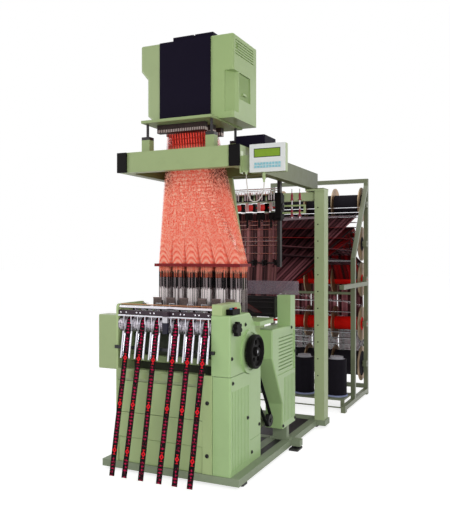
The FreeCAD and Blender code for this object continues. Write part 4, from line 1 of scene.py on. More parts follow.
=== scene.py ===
import bpy
import json
import math
import numpy as np
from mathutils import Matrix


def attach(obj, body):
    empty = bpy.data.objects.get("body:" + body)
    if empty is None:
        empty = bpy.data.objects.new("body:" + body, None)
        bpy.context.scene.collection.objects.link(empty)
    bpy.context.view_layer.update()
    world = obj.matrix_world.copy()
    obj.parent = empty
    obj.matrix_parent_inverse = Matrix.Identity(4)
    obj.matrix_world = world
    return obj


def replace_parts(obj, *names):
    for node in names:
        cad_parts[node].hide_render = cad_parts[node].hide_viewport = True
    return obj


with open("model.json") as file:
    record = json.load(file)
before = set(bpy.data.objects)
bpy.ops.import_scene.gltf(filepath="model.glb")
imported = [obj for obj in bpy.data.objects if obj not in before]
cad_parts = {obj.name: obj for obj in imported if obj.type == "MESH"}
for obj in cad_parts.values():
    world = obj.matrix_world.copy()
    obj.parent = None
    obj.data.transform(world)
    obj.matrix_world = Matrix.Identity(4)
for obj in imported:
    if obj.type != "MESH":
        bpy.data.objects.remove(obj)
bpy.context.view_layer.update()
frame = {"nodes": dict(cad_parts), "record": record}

nodes = frame["nodes"]
frontY = -0.85  # front plane of the loom body; depths below are measured back from it
print("frame loaded:", len(nodes), "nodes")


def linear(red, green, blue):  # screen colour 0..255 to scene colour
    out = []
    for value in (red, green, blue):
        value = value / 255
        out.append(value / 12.92 if value <= 0.04045 else ((value + 0.055) / 1.055) ** 2.4)
    return (*out, 1.0)


class Wire:  # a node socket that takes part in plain arithmetic
    def __init__(self, shader, socket):
        self.shader = shader
        self.socket = socket

    def maths(self, operation, *values):
        return self.shader.node("ShaderNodeMath", {"operation": operation},
                                dict(enumerate(values)))

    def __add__(self, other):
        return self.maths("ADD", self, other)

    def __radd__(self, other):
        return self.maths("ADD", other, self)

    def __sub__(self, other):
        return self.maths("SUBTRACT", self, other)

    def __rsub__(self, other):
        return self.maths("SUBTRACT", other, self)

    def __mul__(self, other):
        return self.maths("MULTIPLY", self, other)

    def __rmul__(self, other):
        return self.maths("MULTIPLY", other, self)

    def __truediv__(self, other):
        return self.maths("DIVIDE", self, other)

    def __mod__(self, other):
        return self.maths("FLOORED_MODULO", self, other)

    def __gt__(self, other):
        return self.maths("GREATER_THAN", self, other)

    def __lt__(self, other):
        return self.maths("LESS_THAN", self, other)

    def __abs__(self):
        return self.maths("ABSOLUTE", self)

    def root(self):
        return self.maths("SQRT", self)


class Shader:  # one material: a Principled surface and what feeds it
    def __init__(self, name, **settings):
        self.material = bpy.data.materials.new(name)
        self.material.use_nodes = True
        self.tree = self.material.node_tree
        self.surface = self.tree.nodes["Principled BSDF"]
        for socket, value in settings.items():
            self.set(socket.replace("_", " "), value)

    def set(self, socket, value):
        target = self.surface.inputs[socket]
        if isinstance(value, Wire):
            self.tree.links.new(value.socket, target)
        else:
            target.default_value = value

    def node(self, kind, settings=None, values=None, output=0):
        item = self.tree.nodes.new(kind)
        for key, value in (settings or {}).items():
            if key == "stops":
                self.fillRamp(item.color_ramp, value)
            else:
                setattr(item, key, value)
        for key, value in (values or {}).items():
            if isinstance(value, Wire):
                self.tree.links.new(value.socket, item.inputs[key])
            else:
                item.inputs[key].default_value = value
        return Wire(self, item.outputs[output])

    def fillRamp(self, ramp, stops):
        while len(ramp.elements) < len(stops):
            ramp.elements.new(0.5)
        for element, (place, colour) in zip(ramp.elements, stops):
            element.position = place
            element.color = colour

    def place(self):
        return self.node("ShaderNodeTexCoord", output=3)

    def axes(self, vector=None):
        split = self.node("ShaderNodeSeparateXYZ", values={0: vector or self.place()})
        return [Wire(self, output) for output in split.socket.node.outputs]

    def noise(self, scale, detail=3.0, rough=0.5, vector=None):
        return self.node("ShaderNodeTexNoise", {}, {
            "Vector": vector or self.place(), "Scale": scale, "Detail": detail,
            "Roughness": rough})

    def streaks(self, x, y, z, detail=3.0, rough=0.6):  # noise with its own scale on each axis
        stretched = self.node("ShaderNodeMapping", {}, {"Vector": self.place(),
                                                        "Scale": (x, y, z)})
        return self.noise(1.0, detail, rough, stretched)

    def mix(self, factor, first, second):
        return self.node("ShaderNodeMix", {"data_type": "RGBA"},
                         {0: factor, 6: first, 7: second}, output=2)

    def speckle(self, scale, first, second, detail=3.0):  # noise between two screen colours
        return self.mix(self.noise(scale, detail), linear(*first), linear(*second))

    def ramp(self, factor, stops):
        return self.node("ShaderNodeValToRGB", {"stops": stops}, {0: factor})

    def fade(self, value, low=0.0, high=1.0):  # 0 up to the low value, 1 from the high one
        return self.ramp(value, [(low, (0, 0, 0, 1)), (high, (1, 1, 1, 1))])

    def cloudy(self, colour, low=0.93, high=1.05):  # the colour in broad lighter, darker patches
        return self.mix(self.noise(3.2, 4.0), shade(colour, low), shade(colour, high))

    def grime(self):  # where hands and dust have dulled it, in soft patches
        return self.fade(self.noise(9.0, 6.0, 0.62), 0.52, 0.78)

    def attribute(self, name):
        return self.node("ShaderNodeAttribute", {"attribute_name": name}, output=2)

    def bump(self, height, strength, distance=0.001):
        self.set("Normal", self.node("ShaderNodeBump", {}, {
            "Strength": strength, "Distance": distance, "Height": height}))

    def peel(self):  # the faint orange peel of enamel
        self.bump(self.noise(420.0, 2.0), 0.05, 0.0006)


def shade(colour, amount):  # same colour, lighter or darker
    return (*[min(1.0, c * amount) for c in colour[:3]], 1.0)


def between(value, low, high):  # 1 inside a span
    return (value > low) * (value < high)


def within(first, second, spans):  # 1 inside a rectangle given as two spans
    return between(first, *spans[0]) * between(second, *spans[1])


def striped(value, start, pitch, share):  # 1 over a share of each repeat
    return between(((value - start) / pitch) % 1.0, 0.0, share)


def saw(value, pitch):  # 0 at the middle of each repeat, rising to 0.5 at its ends
    return abs((value / pitch) % 1.0 - 0.5)


def paint(name, colour, rough=0.34, coat=0.25, shine=0.5):
    # enamel: faint orange peel, cloudy tone, handling grime in broad soft patches
    made = Shader(name, Coat_Weight=coat, Coat_Roughness=0.12, Specular_IOR_Level=shine)
    tone = made.cloudy(colour)
    made.set("Base Color", made.mix(made.grime() * 0.16, tone, shade(colour, 0.62)))
    made.set("Roughness", made.noise(22.0, 3.0) * 0.14 + (rough - 0.07))
    made.peel()
    return made.material


def metal(name, colour, rough=0.25, grain=(600, 8, 600), depth=0.12):
    # turned or drawn metal: long fine scratches, uneven polish
    made = Shader(name, Metallic=1.0)
    lines = made.streaks(*grain)
    made.set("Base Color", made.mix(made.noise(14.0), shade(colour, 0.86), shade(colour, 1.06)))
    made.set("Roughness", lines * 0.22 + (rough - 0.08))
    made.bump(lines, depth, 0.0004)
    return made.material


def plastic(name, colour, rough=0.45, grain=900.0, depth=0.10, shine=0.45):
    # moulded plastic with a fine spark texture
    made = Shader(name, Specular_IOR_Level=shine)
    made.set("Base Color", made.mix(made.noise(11.0, 4.0), shade(colour, 0.88),
                                    shade(colour, 1.10)))
    made.set("Roughness", made.noise(30.0) * 0.16 + (rough - 0.08))
    made.bump(made.noise(grain, 2.0), depth, 0.0004)
    return made.material


def wound(name, dark, light, pitch=0.0011):
    # yarn wound round a barrel: fine rings along X crossed by a slow traverse
    made = Shader(name, Roughness=0.72, Sheen_Weight=0.25)
    x, y, z = made.axes()
    ring = saw(x, pitch) * 2.0
    made.set("Base Color", made.mix(ring * 0.55 + made.streaks(160, 6, 6) * 0.45, dark, light))
    made.bump(ring, 0.5, 0.0006)
    return made.material


def clearSheet():  # tinted clear plastic, cloudy from use
    made = Shader("clearSheet", Roughness=0.08, IOR=1.46)
    made.set("Base Color", made.speckle(6.0, (104, 88, 100), (168, 154, 166)))
    made.set("Alpha", made.noise(16.0, 4.0) * 0.22 + 0.40)
    made.material.surface_render_method = "BLENDED"
    return made.material


sage = linear(156, 173, 122)
materials = {
    "green_paint": paint("greenEnamel", sage),
    "grey_paint": paint("creelGreyGreen", linear(110, 117, 90), 0.42, 0.12),
    "dark_paint": paint("blueBlackEnamel", linear(17, 12, 29), 0.6, 0.0, 0.06),
    "dark_steel": metal("oiledSteel", linear(64, 62, 64), 0.46),
    "bright_steel": metal("groundSteel", linear(205, 205, 210), 0.28),
    "chrome": metal("chromeRod", linear(232, 233, 238), 0.12, (900, 4, 900), 0.04),
    "black_plastic": plastic("blackPlastic", linear(13, 11, 11), 0.5, shine=0.08),
    "blue_plastic": plastic("bluePush", linear(70, 105, 165), 0.25, 400.0, 0.03),
    "red_plastic": plastic("redRoller", linear(226, 62, 58), 0.30, 400.0, 0.04),
    "grey_plastic": plastic("panelGrey", linear(205, 207, 196), 0.42),
    "belt_rubber": plastic("beltRubber", linear(18, 18, 19), 0.7, shine=0.12),
    "board_plastic": plastic("combBoard", linear(122, 26, 30), 0.5, shine=0.2),
    "red_yarn": wound("redYarn", linear(150, 8, 8), linear(232, 30, 22)),
    "black_yarn": wound("blackYarn", linear(7, 6, 8), linear(28, 25, 32)),
    "clear_plastic": clearSheet(),
}


def dress(item, material):  # the material takes the place of all that the item has
    item.data.materials.clear()
    item.data.materials.append(material)


for part in frame["record"]["subparts"]:
    if part["material_slot"] in materials:
        dress(nodes[part["node"]], materials[part["material_slot"]])


def beamFinish(name, height, barrel, dark, light):
    # by distance from the shaft: yarn rings on the barrel; dark brassy flanges speckled with
    # painted gold highlights, and a paler rim that is a painted highlight on the flange's edge
    made = Shader(name, Specular_IOR_Level=0.08)
    x, y, z = made.axes()
    acrossY, acrossZ = y - (beamY + frontY), z - height
    radius = (acrossY * acrossY + acrossZ * acrossZ).root()
    rimRadius = 0.160
    flange = (radius > barrel + 0.002)
    ring = saw(x, 0.0011) * 2.0
    yarnTone = made.mix(ring * 0.45 + made.streaks(160, 6, 6) * 0.45, dark, light)
    # the flange's speckle runs up to bright gold: partly brass, partly painted highlight
    disc = made.speckle(9.0, (58, 40, 26), (196, 152, 104), 4.0)
    # paler rim: painted highlight on the flange's edge
    disc = made.mix(radius > rimRadius, disc, linear(168, 146, 118))
    made.set("Base Color", made.mix(flange, yarnTone, disc))
    made.set("Metallic", flange * 0.75)
    made.set("Roughness", 0.72 - flange * 0.42)
    made.bump(ring * (1.0 - flange), 0.4, 0.0005)
    return made.material


def drumFinish():
    # dark yarn below a pale cap, on a bluish plastic foot
    made = Shader("drumFinish", Specular_IOR_Level=0.08)
    x, y, z = made.axes()
    footTop, yarnTop, capLow = 0.1125, 0.436, 0.4365
    ring = saw(z, 0.0016) * 2.0
    body = made.mix(ring * 0.5 + made.noise(30.0) * 0.3, linear(6, 5, 7), linear(34, 30, 40))
    body = made.mix(z > capLow, body, linear(168, 166, 172))
    made.set("Base Color", made.mix(z < footTop, body, linear(150, 158, 196)))
    made.set("Roughness", 0.7 - (z > capLow) * 0.35)
    made.bump(ring * (z < yarnTop), 0.4, 0.0005)
    return made.material


# spans across and up on the panel's front; starts, pitches and shares of the keys' grid
panelArt = {"display": ((0.5295, 0.6975), (1.9645, 2.0175)),
            "glass": ((0.534, 0.693), (1.969, 2.013)), "keys": ((0.5335, 0.700), (1.9015, 1.9345)),
            "columns": (0.5340, 0.01875, 0.76), "rows": (1.9020, 0.018, 0.78), "front": 0.0545}


def panelFinish():
    # pale front sheet with a green display and pale blue keys, green case behind it
    made = Shader("panelFinish", Roughness=0.4, Specular_IOR_Level=0.4)
    x, y, z = made.axes()
    display = within(x, z, panelArt["display"])
    glass = made.speckle(40.0, (104, 136, 20), (128, 160, 34))
    glass = made.mix(within(x, z, panelArt["glass"]), linear(40, 46, 30), glass)
    keys = within(x, z, panelArt["keys"]) * striped(x, *panelArt["columns"]) * striped(
        z, *panelArt["rows"])
    sheet = made.mix(keys, linear(214, 216, 214), linear(138, 190, 200))
    case = made.mix(made.noise(6.0), shade(sage, 0.94), shade(sage, 1.04))
    made.set("Base Color", made.mix(y < panelArt["front"] + frontY, case,
                                    made.mix(display, sheet, glass)))
    made.bump(made.noise(500.0), 0.05, 0.0004)
    return made.material


guideArt = {"middles": (-0.312, -0.209, -0.106, 0.032, 0.135, 0.238), "half": 0.0288,
            "barZ": (0.789, 0.811)}


def guideFinish():
    # bright channels; wherever no channel covers it, the bar is painted dark as painted shade
    made = Shader("guideFinish", Metallic=1.0)
    x, y, z = made.axes()
    bar = between(z, *guideArt["barZ"])
    for middle in guideArt["middles"]:
        bar = bar * (abs(x - middle) > guideArt["half"])
    sheet = made.speckle(30.0, (206, 206, 214), (238, 238, 244))
    # the bar's dark colour is painted shade
    made.set("Base Color", made.mix(bar, sheet, linear(58, 58, 60)))
    made.set("Roughness", bar * 0.25 + made.noise(60.0) * 0.15 + 0.12)
    return made.material


gantryArt = {"beamZ": (1.92, 2.06), "sideY": 0.16, "length": 1.6, "postY": 1.50,
             "hangerX": (0.325, 0.360), "hangerY": (0.975 + frontY, 1.025 + frontY),
             "hangerTop": 1.965}


def gantryFinish():
    # enamel; greyer on the long side beams and darker towards the back, painted shade on those
    # faces;
    # dark on the rack's hangers, lighter on the posts
    made = Shader("gantryEnamel", Coat_Weight=0.05, Coat_Roughness=0.2, Specular_IOR_Level=0.25)
    x, y, z = made.axes()
    # painted shade: the side beams get a greyer tone that darkens towards the back
    side = between(z, *gantryArt["beamZ"]) * (y > gantryArt["sideY"] + frontY)
    grey = made.mix((y - frontY) / gantryArt["length"], linear(112, 120, 72), linear(78, 84, 54))
    tone = made.mix(side, made.cloudy(sage), grey)
    hanger = within(abs(x), y, (gantryArt["hangerX"], gantryArt["hangerY"]))
    tone = made.mix(hanger * (z < gantryArt["hangerTop"]), tone, linear(26, 21, 24))
    post = (z < gantryArt["beamZ"][0]) * (y > gantryArt["postY"] + frontY)
    tone = made.mix(post, tone, linear(172, 186, 142))
    made.set("Base Color", made.mix(made.grime() * 0.16, tone, shade(sage, 0.5)))
    made.set("Roughness", made.noise(22.0, 3.0) * 0.14 + 0.38)
    made.peel()
    return made.material


def rollerFinish():
    # take-up roller: bright steel under a wrap of emery cloth worn in rings
    made = Shader("emeryRoller", Metallic=0.7)
    rings = made.streaks(240, 9, 9, 4.0, 0.7)
    flecks = made.noise(150.0, 3.0, 0.6)
    tone = made.ramp(rings * 0.6 + flecks * 0.4, [(0.42, linear(46, 40, 44)),
                                                  (0.56, linear(196, 190, 198))])
    made.set("Base Color", tone)
    made.set("Roughness", flecks * 0.4 + 0.2)
    made.bump(flecks, 0.3, 0.0006)
    return made.material


bearingArt = {"x": (-0.052, -0.014), "top": 1.006, "steelLow": 0.968}


def barFinish():
    # breast bar: purple-black enamel; its middle bearing is steel over a dark block
    made = Shader("breastBar", Roughness=0.4, Specular_IOR_Level=0.3)
    x, y, z = made.axes()
    bearing = between(x, *bearingArt["x"]) * (z < bearingArt["top"])
    steelPart = z > bearingArt["steelLow"]
    steel = made.speckle(40.0, (140, 138, 142), (222, 220, 226), 3.0)
    bar = made.speckle(60.0, (30, 20, 28), (66, 50, 60), 4.0)
    made.set("Base Color", made.mix(bearing, bar,
                                    made.mix(steelPart, linear(26, 24, 40), steel)))
    made.set("Metallic", bearing * steelPart * 0.8)
    made.bump(made.noise(300.0), 0.1, 0.0004)
    return made.material


hookArt = {"x": (-0.262, 0.122), "top": 2.2560, "pitch": 0.013, "dotZ": (2.203, 2.222)}


def headBaseFinish():
    # green plate on top, below it the hook rows: dark, with pale hook ends in rows
    made = Shader("headBase", Roughness=0.5, Specular_IOR_Level=0.2)
    x, y, z = made.axes()
    hooks = between(x, *hookArt["x"]) * (z < hookArt["top"])
    dots = (saw(x, hookArt["pitch"]) < 0.20) * between(z, *hookArt["dotZ"])
    dark = made.speckle(60.0, (14, 10, 10), (58, 40, 38), 4.0)
    under = made.mix(dots, dark, linear(206, 186, 182))
    made.set("Base Color", made.mix(hooks, made.cloudy(sage, 0.90, 1.04), under))
    made.peel()
    return made.material


def standFinish():
    # stands under the head: green feet on the beam, oiled dark columns above
    made = Shader("headStands", Roughness=0.45, Specular_IOR_Level=0.3)
    x, y, z = made.axes()
    steel = made.speckle(14.0, (26, 24, 26), (52, 48, 50))
    footTop = 2.150
    made.set("Base Color", made.mix(z < footTop, steel, made.cloudy(sage)))
    made.peel()
    return made.material


def reedFinish():
    # reed dents: fine upright wires above the beam, the gaps between them painted dark as painted
    # shade
    made = Shader("reedFinish", Metallic=0.8)
    x, y, z = made.axes()
    dentLow, dentTop, dentPitch = 1.0115, 1.092, 0.0024
    dents = between(z, dentLow, dentTop)
    wire = saw(x, dentPitch) > 0.22
    steel = made.speckle(24.0, (96, 80, 78), (140, 122, 118))
    # painted shade in the gaps between the dents
    made.set("Base Color", made.mix(dents * (1.0 - wire), steel, linear(20, 15, 16)))
    made.set("Roughness", dents * 0.2 + 0.3)
    return made.material


def breastFinish():
    # polished breast rod, copper lay rod behind and above it
    made = Shader("breastFinish", Metallic=1.0)
    x, y, z = made.axes()
    scratch = made.streaks(4, 700, 700)
    steel = made.mix(scratch, linear(206, 200, 208), linear(240, 240, 246))
    copperLow = 1.0665
    made.set("Base Color", made.mix(z > copperLow, steel, linear(186, 138, 104)))
    made.set("Roughness", scratch * 0.14 + 0.06)
    return made.material


beamY = 2.950  # depth of the warp beams' shafts
beams = ((0.310, 0.120, "black"), (0.705, 0.065, "red"), (1.145, 0.050, "red"),
         (1.500, 0.070, "black"), (1.890, 0.100, "black"))  # shaft height, yarn radius, yarn
beamYarn = {"red": (linear(176, 6, 4), linear(255, 34, 24)),
            "black": (linear(8, 7, 9), linear(40, 36, 44))}
ownFinish = {"yarn_drums": drumFinish(), "panel_case": panelFinish(),
             "head_plate": headBaseFinish(), "reed_sley": reedFinish(),
             "head_stand": standFinish(), "gantry_frame": gantryFinish(),
             "take_up_roller": rollerFinish(), "breast_bar": barFinish(),
             "breast_rods": breastFinish(), "ribbon_guides": guideFinish(),
             "head_right_cover": paint("headGreen", linear(157, 180, 122), 0.45, 0.08, 0.3),
             "base_frame": paint("baseGrey", linear(136, 148, 122), 0.5, 0.05, 0.3)}
for index, (height, barrel, kind) in enumerate(beams):
    number = index + 1
    ownFinish["warp_beam_%d" % number] = beamFinish("beam%dFinish" % number, height, barrel,
                                                    *beamYarn[kind])
# a lighter copy of the green enamel for the right side's covers: painted light
litCoverPaint = paint("coverGreenLit", linear(163, 192, 134), 0.36, 0.15, 0.4)
for name in ("right_upper_cover", "right_lower_cover", "side_panel", "drive_housing",
             "rear_deck"):
    ownFinish[name] = litCoverPaint
# a lighter copy of the green enamel for the front: painted light
litFrontPaint = paint("frontGreenLit", linear(170, 190, 134), 0.40, 0.10, 0.4)
for name in ("front_panels", "front_strip_cover", "loom_frame"):
    ownFinish[name] = litFrontPaint
for name, finish in ownFinish.items():
    dress(nodes[name], finish)
print("materials on the frame's nodes")

camera = {"place": (2.01, -4.36, 1.39), "azimuth": 25.1, "lens": 46.22, "shiftUp": 0.0026,
          "reach": 60.0}
view = bpy.data.cameras.new("photoView")
view.lens = camera["lens"]
view.sensor_width = 36.0
view.shift_y = camera["shiftUp"]
view.clip_end = camera["reach"]
viewObject = bpy.data.objects.new("photoView", view)
viewObject.location = camera["place"]
viewObject.rotation_euler = (math.pi / 2, 0.0, math.radians(camera["azimuth"]))
bpy.context.collection.objects.link(viewObject)
scene = bpy.context.scene
scene.camera = viewObject
scene.view_settings.view_transform = "Standard"


def softbox(name, place, aim, size, power):
    lamp = bpy.data.lights.new(name, "AREA")
    lamp.shape = "RECTANGLE"
    lamp.size, lamp.size_y = size
    lamp.energy = power
    item = bpy.data.objects.new(name, lamp)
    item.location = place
    direction = np.array(aim, float) - np.array(place, float)
    yaw = math.atan2(-direction[0], direction[1])
    pitch = math.atan2(math.hypot(direction[0], direction[1]), -direction[2])
    item.rotation_euler = (pitch, 0.0, yaw)
    bpy.context.collection.objects.link(item)


softbox("keyBox", (3.6, -4.4, 1.9), (0.2, -0.3, 0.9), (2.4, 2.4), 132)
softbox("fillBox", (-4.2, -3.4, 2.6), (0.0, 0.0, 1.2), (2.4, 2.4), 84)
softbox("topBox", (0.4, 0.6, 5.6), (0.0, 0.5, 0.0), (3.6, 4.2), 62)
softbox("rearBox", (3.4, 4.8, 3.2), (0.2, 1.2, 1.2), (2.0, 2.0), 34)
white = (1.0, 1.0, 1.0, 1.0)


def addNode(tree, kind, **values):
    item = tree.nodes.new(kind)
    for socket, value in values.items():
        item.inputs[socket].default_value = value
    return item


def whiteRays(tree):  # 1 for the rays that see the background: camera, glossy, transmission
    path = tree.nodes.new("ShaderNodeLightPath")
    total = path.outputs["Is Camera Ray"]
    for ray in ("Is Glossy Ray", "Is Transmission Ray"):
        larger = tree.nodes.new("ShaderNodeMath")
        larger.operation = "MAXIMUM"
        tree.links.new(total, larger.inputs[0])
        tree.links.new(path.outputs[ray], larger.inputs[1])
        total = larger.outputs[0]
    return total


# world: plain white to those rays, a weaker white as light
world = bpy.data.worlds.new("studio")
scene.world = world
world.use_nodes = True
worldTree = world.node_tree
background = worldTree.nodes["Background"]
background.inputs["Color"].default_value = white
background.inputs["Strength"].default_value = 0.36
bright = addNode(worldTree, "ShaderNodeBackground", Color=white, Strength=1.0)
choose = addNode(worldTree, "ShaderNodeMixShader")
for source, target in ((whiteRays(worldTree), choose.inputs[0]),
                       (background.outputs[0], choose.inputs[1]),
                       (bright.outputs[0], choose.inputs[2]),
                       (choose.outputs[0], worldTree.nodes["World Output"].inputs["Surface"])):
    worldTree.links.new(source, target)


def newPiece(name, vertices, faces, material, body="machine", smooth=False):
    mesh = bpy.data.meshes.new(name)
    mesh.from_pydata(np.asarray(vertices, float).tolist(), [], np.asarray(faces).tolist())
    mesh.update()
    if smooth:
        mesh.polygons.foreach_set("use_smooth", np.ones(len(mesh.polygons), bool))
    item = bpy.data.objects.new(name, mesh)
    bpy.context.collection.objects.link(item)
    item.data.materials.append(material)
    if body:
        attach(item, body)
    return item


# floor: white where lit, a faint grey in the shadow; the glow is seen, but lights nothing
floorLook = {"half": 40.0, "colour": 0.55, "rough": 0.9, "glow": 0.74}
grey, far = floorLook["colour"], floorLook["half"]
floorWhite = Shader("floorWhite", Base_Color=(grey, grey, grey, 1.0),
                    Roughness=floorLook["rough"])
floor = newPiece("studioFloor", [(-far, -far, 0), (far, -far, 0), (far, far, 0), (-far, far, 0)],
                 [(0, 1, 2, 3)], floorWhite.material, None)
tree = floorWhite.tree
glow = addNode(tree, "ShaderNodeEmission", Color=white)
share = tree.nodes.new("ShaderNodeMath")
share.operation = "MULTIPLY"
share.inputs[1].default_value = floorLook["glow"]
blendIn = tree.nodes.new("ShaderNodeAddShader")
for source, target in ((whiteRays(tree), share.inputs[0]),
                       (share.outputs[0], glow.inputs["Strength"]),
                       (floorWhite.surface.outputs[0], blendIn.inputs[0]),
                       (glow.outputs[0], blendIn.inputs[1]),
                       (blendIn.outputs[0], tree.nodes["Material Output"].inputs["Surface"])):
    tree.links.new(source, target)
print("camera, lights and floor")


def rings(along, sides, start=0.0):
    # ring of unit points square to each direction: cosine times one side plus sine times other
    along = along / np.linalg.norm(along, axis=1)[:, None]
    helper = np.where(np.abs(along[:, :1]) > 0.8, [[0.0, 1.0, 0.0]], [[1.0, 0.0, 0.0]])
    first = np.cross(along, helper)
    first /= np.linalg.norm(first, axis=1)[:, None]
    second = np.cross(along, first)
    turn = start + np.arange(sides) * 2 * np.pi / sides
    return (np.cos(turn)[None, :, None] * first[:, None] +
            np.sin(turn)[None, :, None] * second[:, None])


def wrapped(rows, sides):  # faces between rows of points, each row closed on itself
    row, side = np.meshgrid(np.arange(rows - 1), np.arange(sides), indexing="ij")
    here = (row * sides + side).ravel()
    beside = (row * sides + (side + 1) % sides).ravel()
    return np.stack([here, beside, beside + sides, here + sides], 1)


def bundle(name, starts, ends, radius, material, body="machine", tone=None):
    # straight square strands: a ring of four corners at each end, so the whole bundle is one
    # mesh of closed prisms, with a tone value per strand
    starts, ends = np.asarray(starts, float), np.asarray(ends, float)
    count = len(starts)
    ring = rings(ends - starts, 4, np.pi / 4) * radius
    points = np.concatenate([starts[:, None] + ring, ends[:, None] + ring], axis=1)
    quad = np.array([[0, 1, 5, 4], [1, 2, 6, 5], [2, 3, 7, 6], [3, 0, 4, 7],
                     [3, 2, 1, 0], [4, 5, 6, 7]])
    faces = (quad[None] + 8 * np.arange(count)[:, None, None]).reshape(-1, 4)
    item = newPiece(name, points.reshape(-1, 3), faces, material, body)
    if tone is None:
        tone = np.random.default_rng(len(name)).random(count)
    store = item.data.attributes.new("tone", "FLOAT", "POINT")
    store.data.foreach_set("value", np.repeat(np.asarray(tone, float), 8))
    return item


def lathe(profile, segments=32, axis="x", centre=(0, 0, 0)):
    # closed profile of (along, radius) points turned about an axis: grid of rings, wrapped
    profile = np.asarray(profile, float)
    angle = np.arange(segments) * 2 * np.pi / segments
    a, r = profile[:, 0][:, None], profile[:, 1][:, None]
    first, second = r * np.cos(angle), r * np.sin(angle)
    a = np.repeat(a, segments, axis=1)
    grid = {"x": (a, first, second), "y": (first, a, -second), "z": (first, second, a)}[axis]
    points = np.stack(grid, axis=-1).reshape(-1, 3) + np.asarray(centre, float)
    return points, wrapped(len(profile), segments)[:, ::-1]


def roundBar(low, high, radius, axis="x", centre=(0, 0, 0), segments=12):
    return lathe([(low, 0.0), (low, radius), (high, radius), (high, 0.0)], segments, axis,
                 centre)


def tube(points, radius, sides=10):
    # bar along a line: one ring at each point, square to the mean direction there; each end
    # cap is four-cornered faces fanned from one corner
    points = np.asarray(points, float)
    grid = (points[:, None] + rings(np.gradient(points, axis=0), sides) * radius).reshape(-1, 3)
    fan = np.arange(1, sides - 2, 2)
    cap = np.stack([np.zeros_like(fan), fan, fan + 1, fan + 2], 1)
    faces = np.concatenate([wrapped(len(points), sides), cap[:, ::-1],
                            cap + len(grid) - sides])
    return grid, faces


def coil(place, radius, turns, perTurn, tall, wire):
    # spring standing on its place: a circle that rises evenly
    x, y, z = place
    angle = np.linspace(0, turns * 2 * np.pi, turns * perTurn)
    return tube(np.stack([x + radius * np.cos(angle), y + frontY + radius * np.sin(angle),
                          z + tall * angle / angle[-1]], 1), wire, 6)


def gather(shapes):  # several (points, faces) joined into one list of each
    points, faces, offset = [], [], 0
    for some, quads in shapes:
        points.append(np.asarray(some, float))
        faces.append(np.asarray(quads) + offset)
        offset += len(some)
    return np.concatenate(points), np.concatenate(faces)


def placed(shape, shifts):  # one shape copied to each (x, y, z) shift
    points, faces = shape
    return gather([(points + np.asarray(shift, float), faces) for shift in shifts])


def box(across, depth, height):  # between two values each; depth is from the loom's front
    points = np.array([(x, y + frontY, z) for z in height for y in depth for x in across])
    faces = np.array([[0, 2, 3, 1], [4, 5, 7, 6], [0, 1, 5, 4], [2, 6, 7, 3], [0, 4, 6, 2],
                      [1, 3, 7, 5]])
    return points, faces


def boxAt(x, z, spans):  # box whose spans across and up are measured from x and z
    across, depth, height = spans
    return box((x + across[0], x + across[1]), depth, (z + height[0], z + height[1]))


def softened(item, width):
    bevel = item.modifiers.new("edge", "BEVEL")
    bevel.width = width
    bevel.segments = 2
    bevel.limit_method = "ANGLE"
    return item


def fitted(name, shapes, material, edge=0.0, smooth=False):  # one piece of several shapes
    item = newPiece(name, *gather(shapes), material, smooth=smooth)
    return softened(item, edge) if edge else item


# panel cable: from the collar under the panel, a loop down and back up into the bracket
panelCable = {"diameter": 0.006, "length": 0.332, "route": [
    (0.587, 0.072, 1.820), (0.587, 0.072, 1.784), (0.577, 0.068, 1.741), (0.556, 0.065, 1.712),
    (0.530, 0.064, 1.702), (0.504, 0.066, 1.714), (0.487, 0.069, 1.748), (0.478, 0.073, 1.800),
    (0.472, 0.075, 1.842), (0.472, 0.075, 1.873)]}
cableCurve = bpy.data.curves.new("panelCableCurve", "CURVE")
cableCurve.dimensions = "3D"
line = cableCurve.splines.new("NURBS")
line.points.add(len(panelCable["route"]) - 1)
for point, (x, y, z) in zip(line.points, panelCable["route"]):
    point.co = (x, y + frontY, z, 1.0)
line.order_u = 3
line.use_endpoint_u = True
line.resolution_u = 10
cableCurve.bevel_depth = panelCable["diameter"] / 2
cableCurve.bevel_resolution = 4
cableCurve.use_fill_caps = True
cable = bpy.data.objects.new("panelCable", cableCurve)
bpy.context.collection.objects.link(cable)
cableCurve.materials.append(plastic("cableJacket", linear(196, 190, 182), 0.5, 500.0, 0.05))
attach(cable, "machine")
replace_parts(cable, "panel_cable")
print("panel cable")


# harness: every hook lifts cords that fan out to the ribbons' groups on the comber board
harness = {"groups": 6, "columns": 36, "rows": 12, "first": -0.305, "pitch": 0.110,
           "wide": 0.076, "hookLeft": -0.196, "hookRight": 0.092, "hookFront": 0.290,
           "hookBack": 0.480, "boardFront": 0.425, "boardBack": 0.535, "radius": 0.0008,
           "combTop": 1.330, "hooksLow": 2.200, "middle": -0.052, "flank": 0.105,
           "flankLow": 1.760, "stripeLow": 2.02, "stripe": 0.020}
heddle = {"radius": 0.0009, "low": 0.820, "top": 1.310, "wireTop": 1.085, "loopTop": 1.180,
          "sleeveTop": 1.262, "cordLow": 1.290}


def cordPlaces():
    # low ends: groups x columns x rows on the comber board; top ends: each hook holds one
    # cord of every group, so a group's cords fan out over nearly the whole hook field
    grid = np.meshgrid(np.arange(harness["groups"]), np.arange(harness["columns"]),
                       np.arange(harness["rows"]), indexing="ij")
    group, column, row = (part.ravel() for part in grid)
    within = column / (harness["columns"] - 1)
    depth = row / (harness["rows"] - 1)
    lowX = harness["first"] + harness["pitch"] * group + harness["wide"] * (within - 0.5)
    lowY = harness["boardFront"] + (harness["boardBack"] - harness["boardFront"]) * depth
    spread = 0.4 * within + 0.6 * (group + within) / harness["groups"]
    topX = harness["hookLeft"] + (harness["hookRight"] - harness["hookLeft"]) * spread
    topY = harness["hookFront"] + (harness["hookBack"] - harness["hookFront"]) * depth
    return lowX, lowY, topX, topY


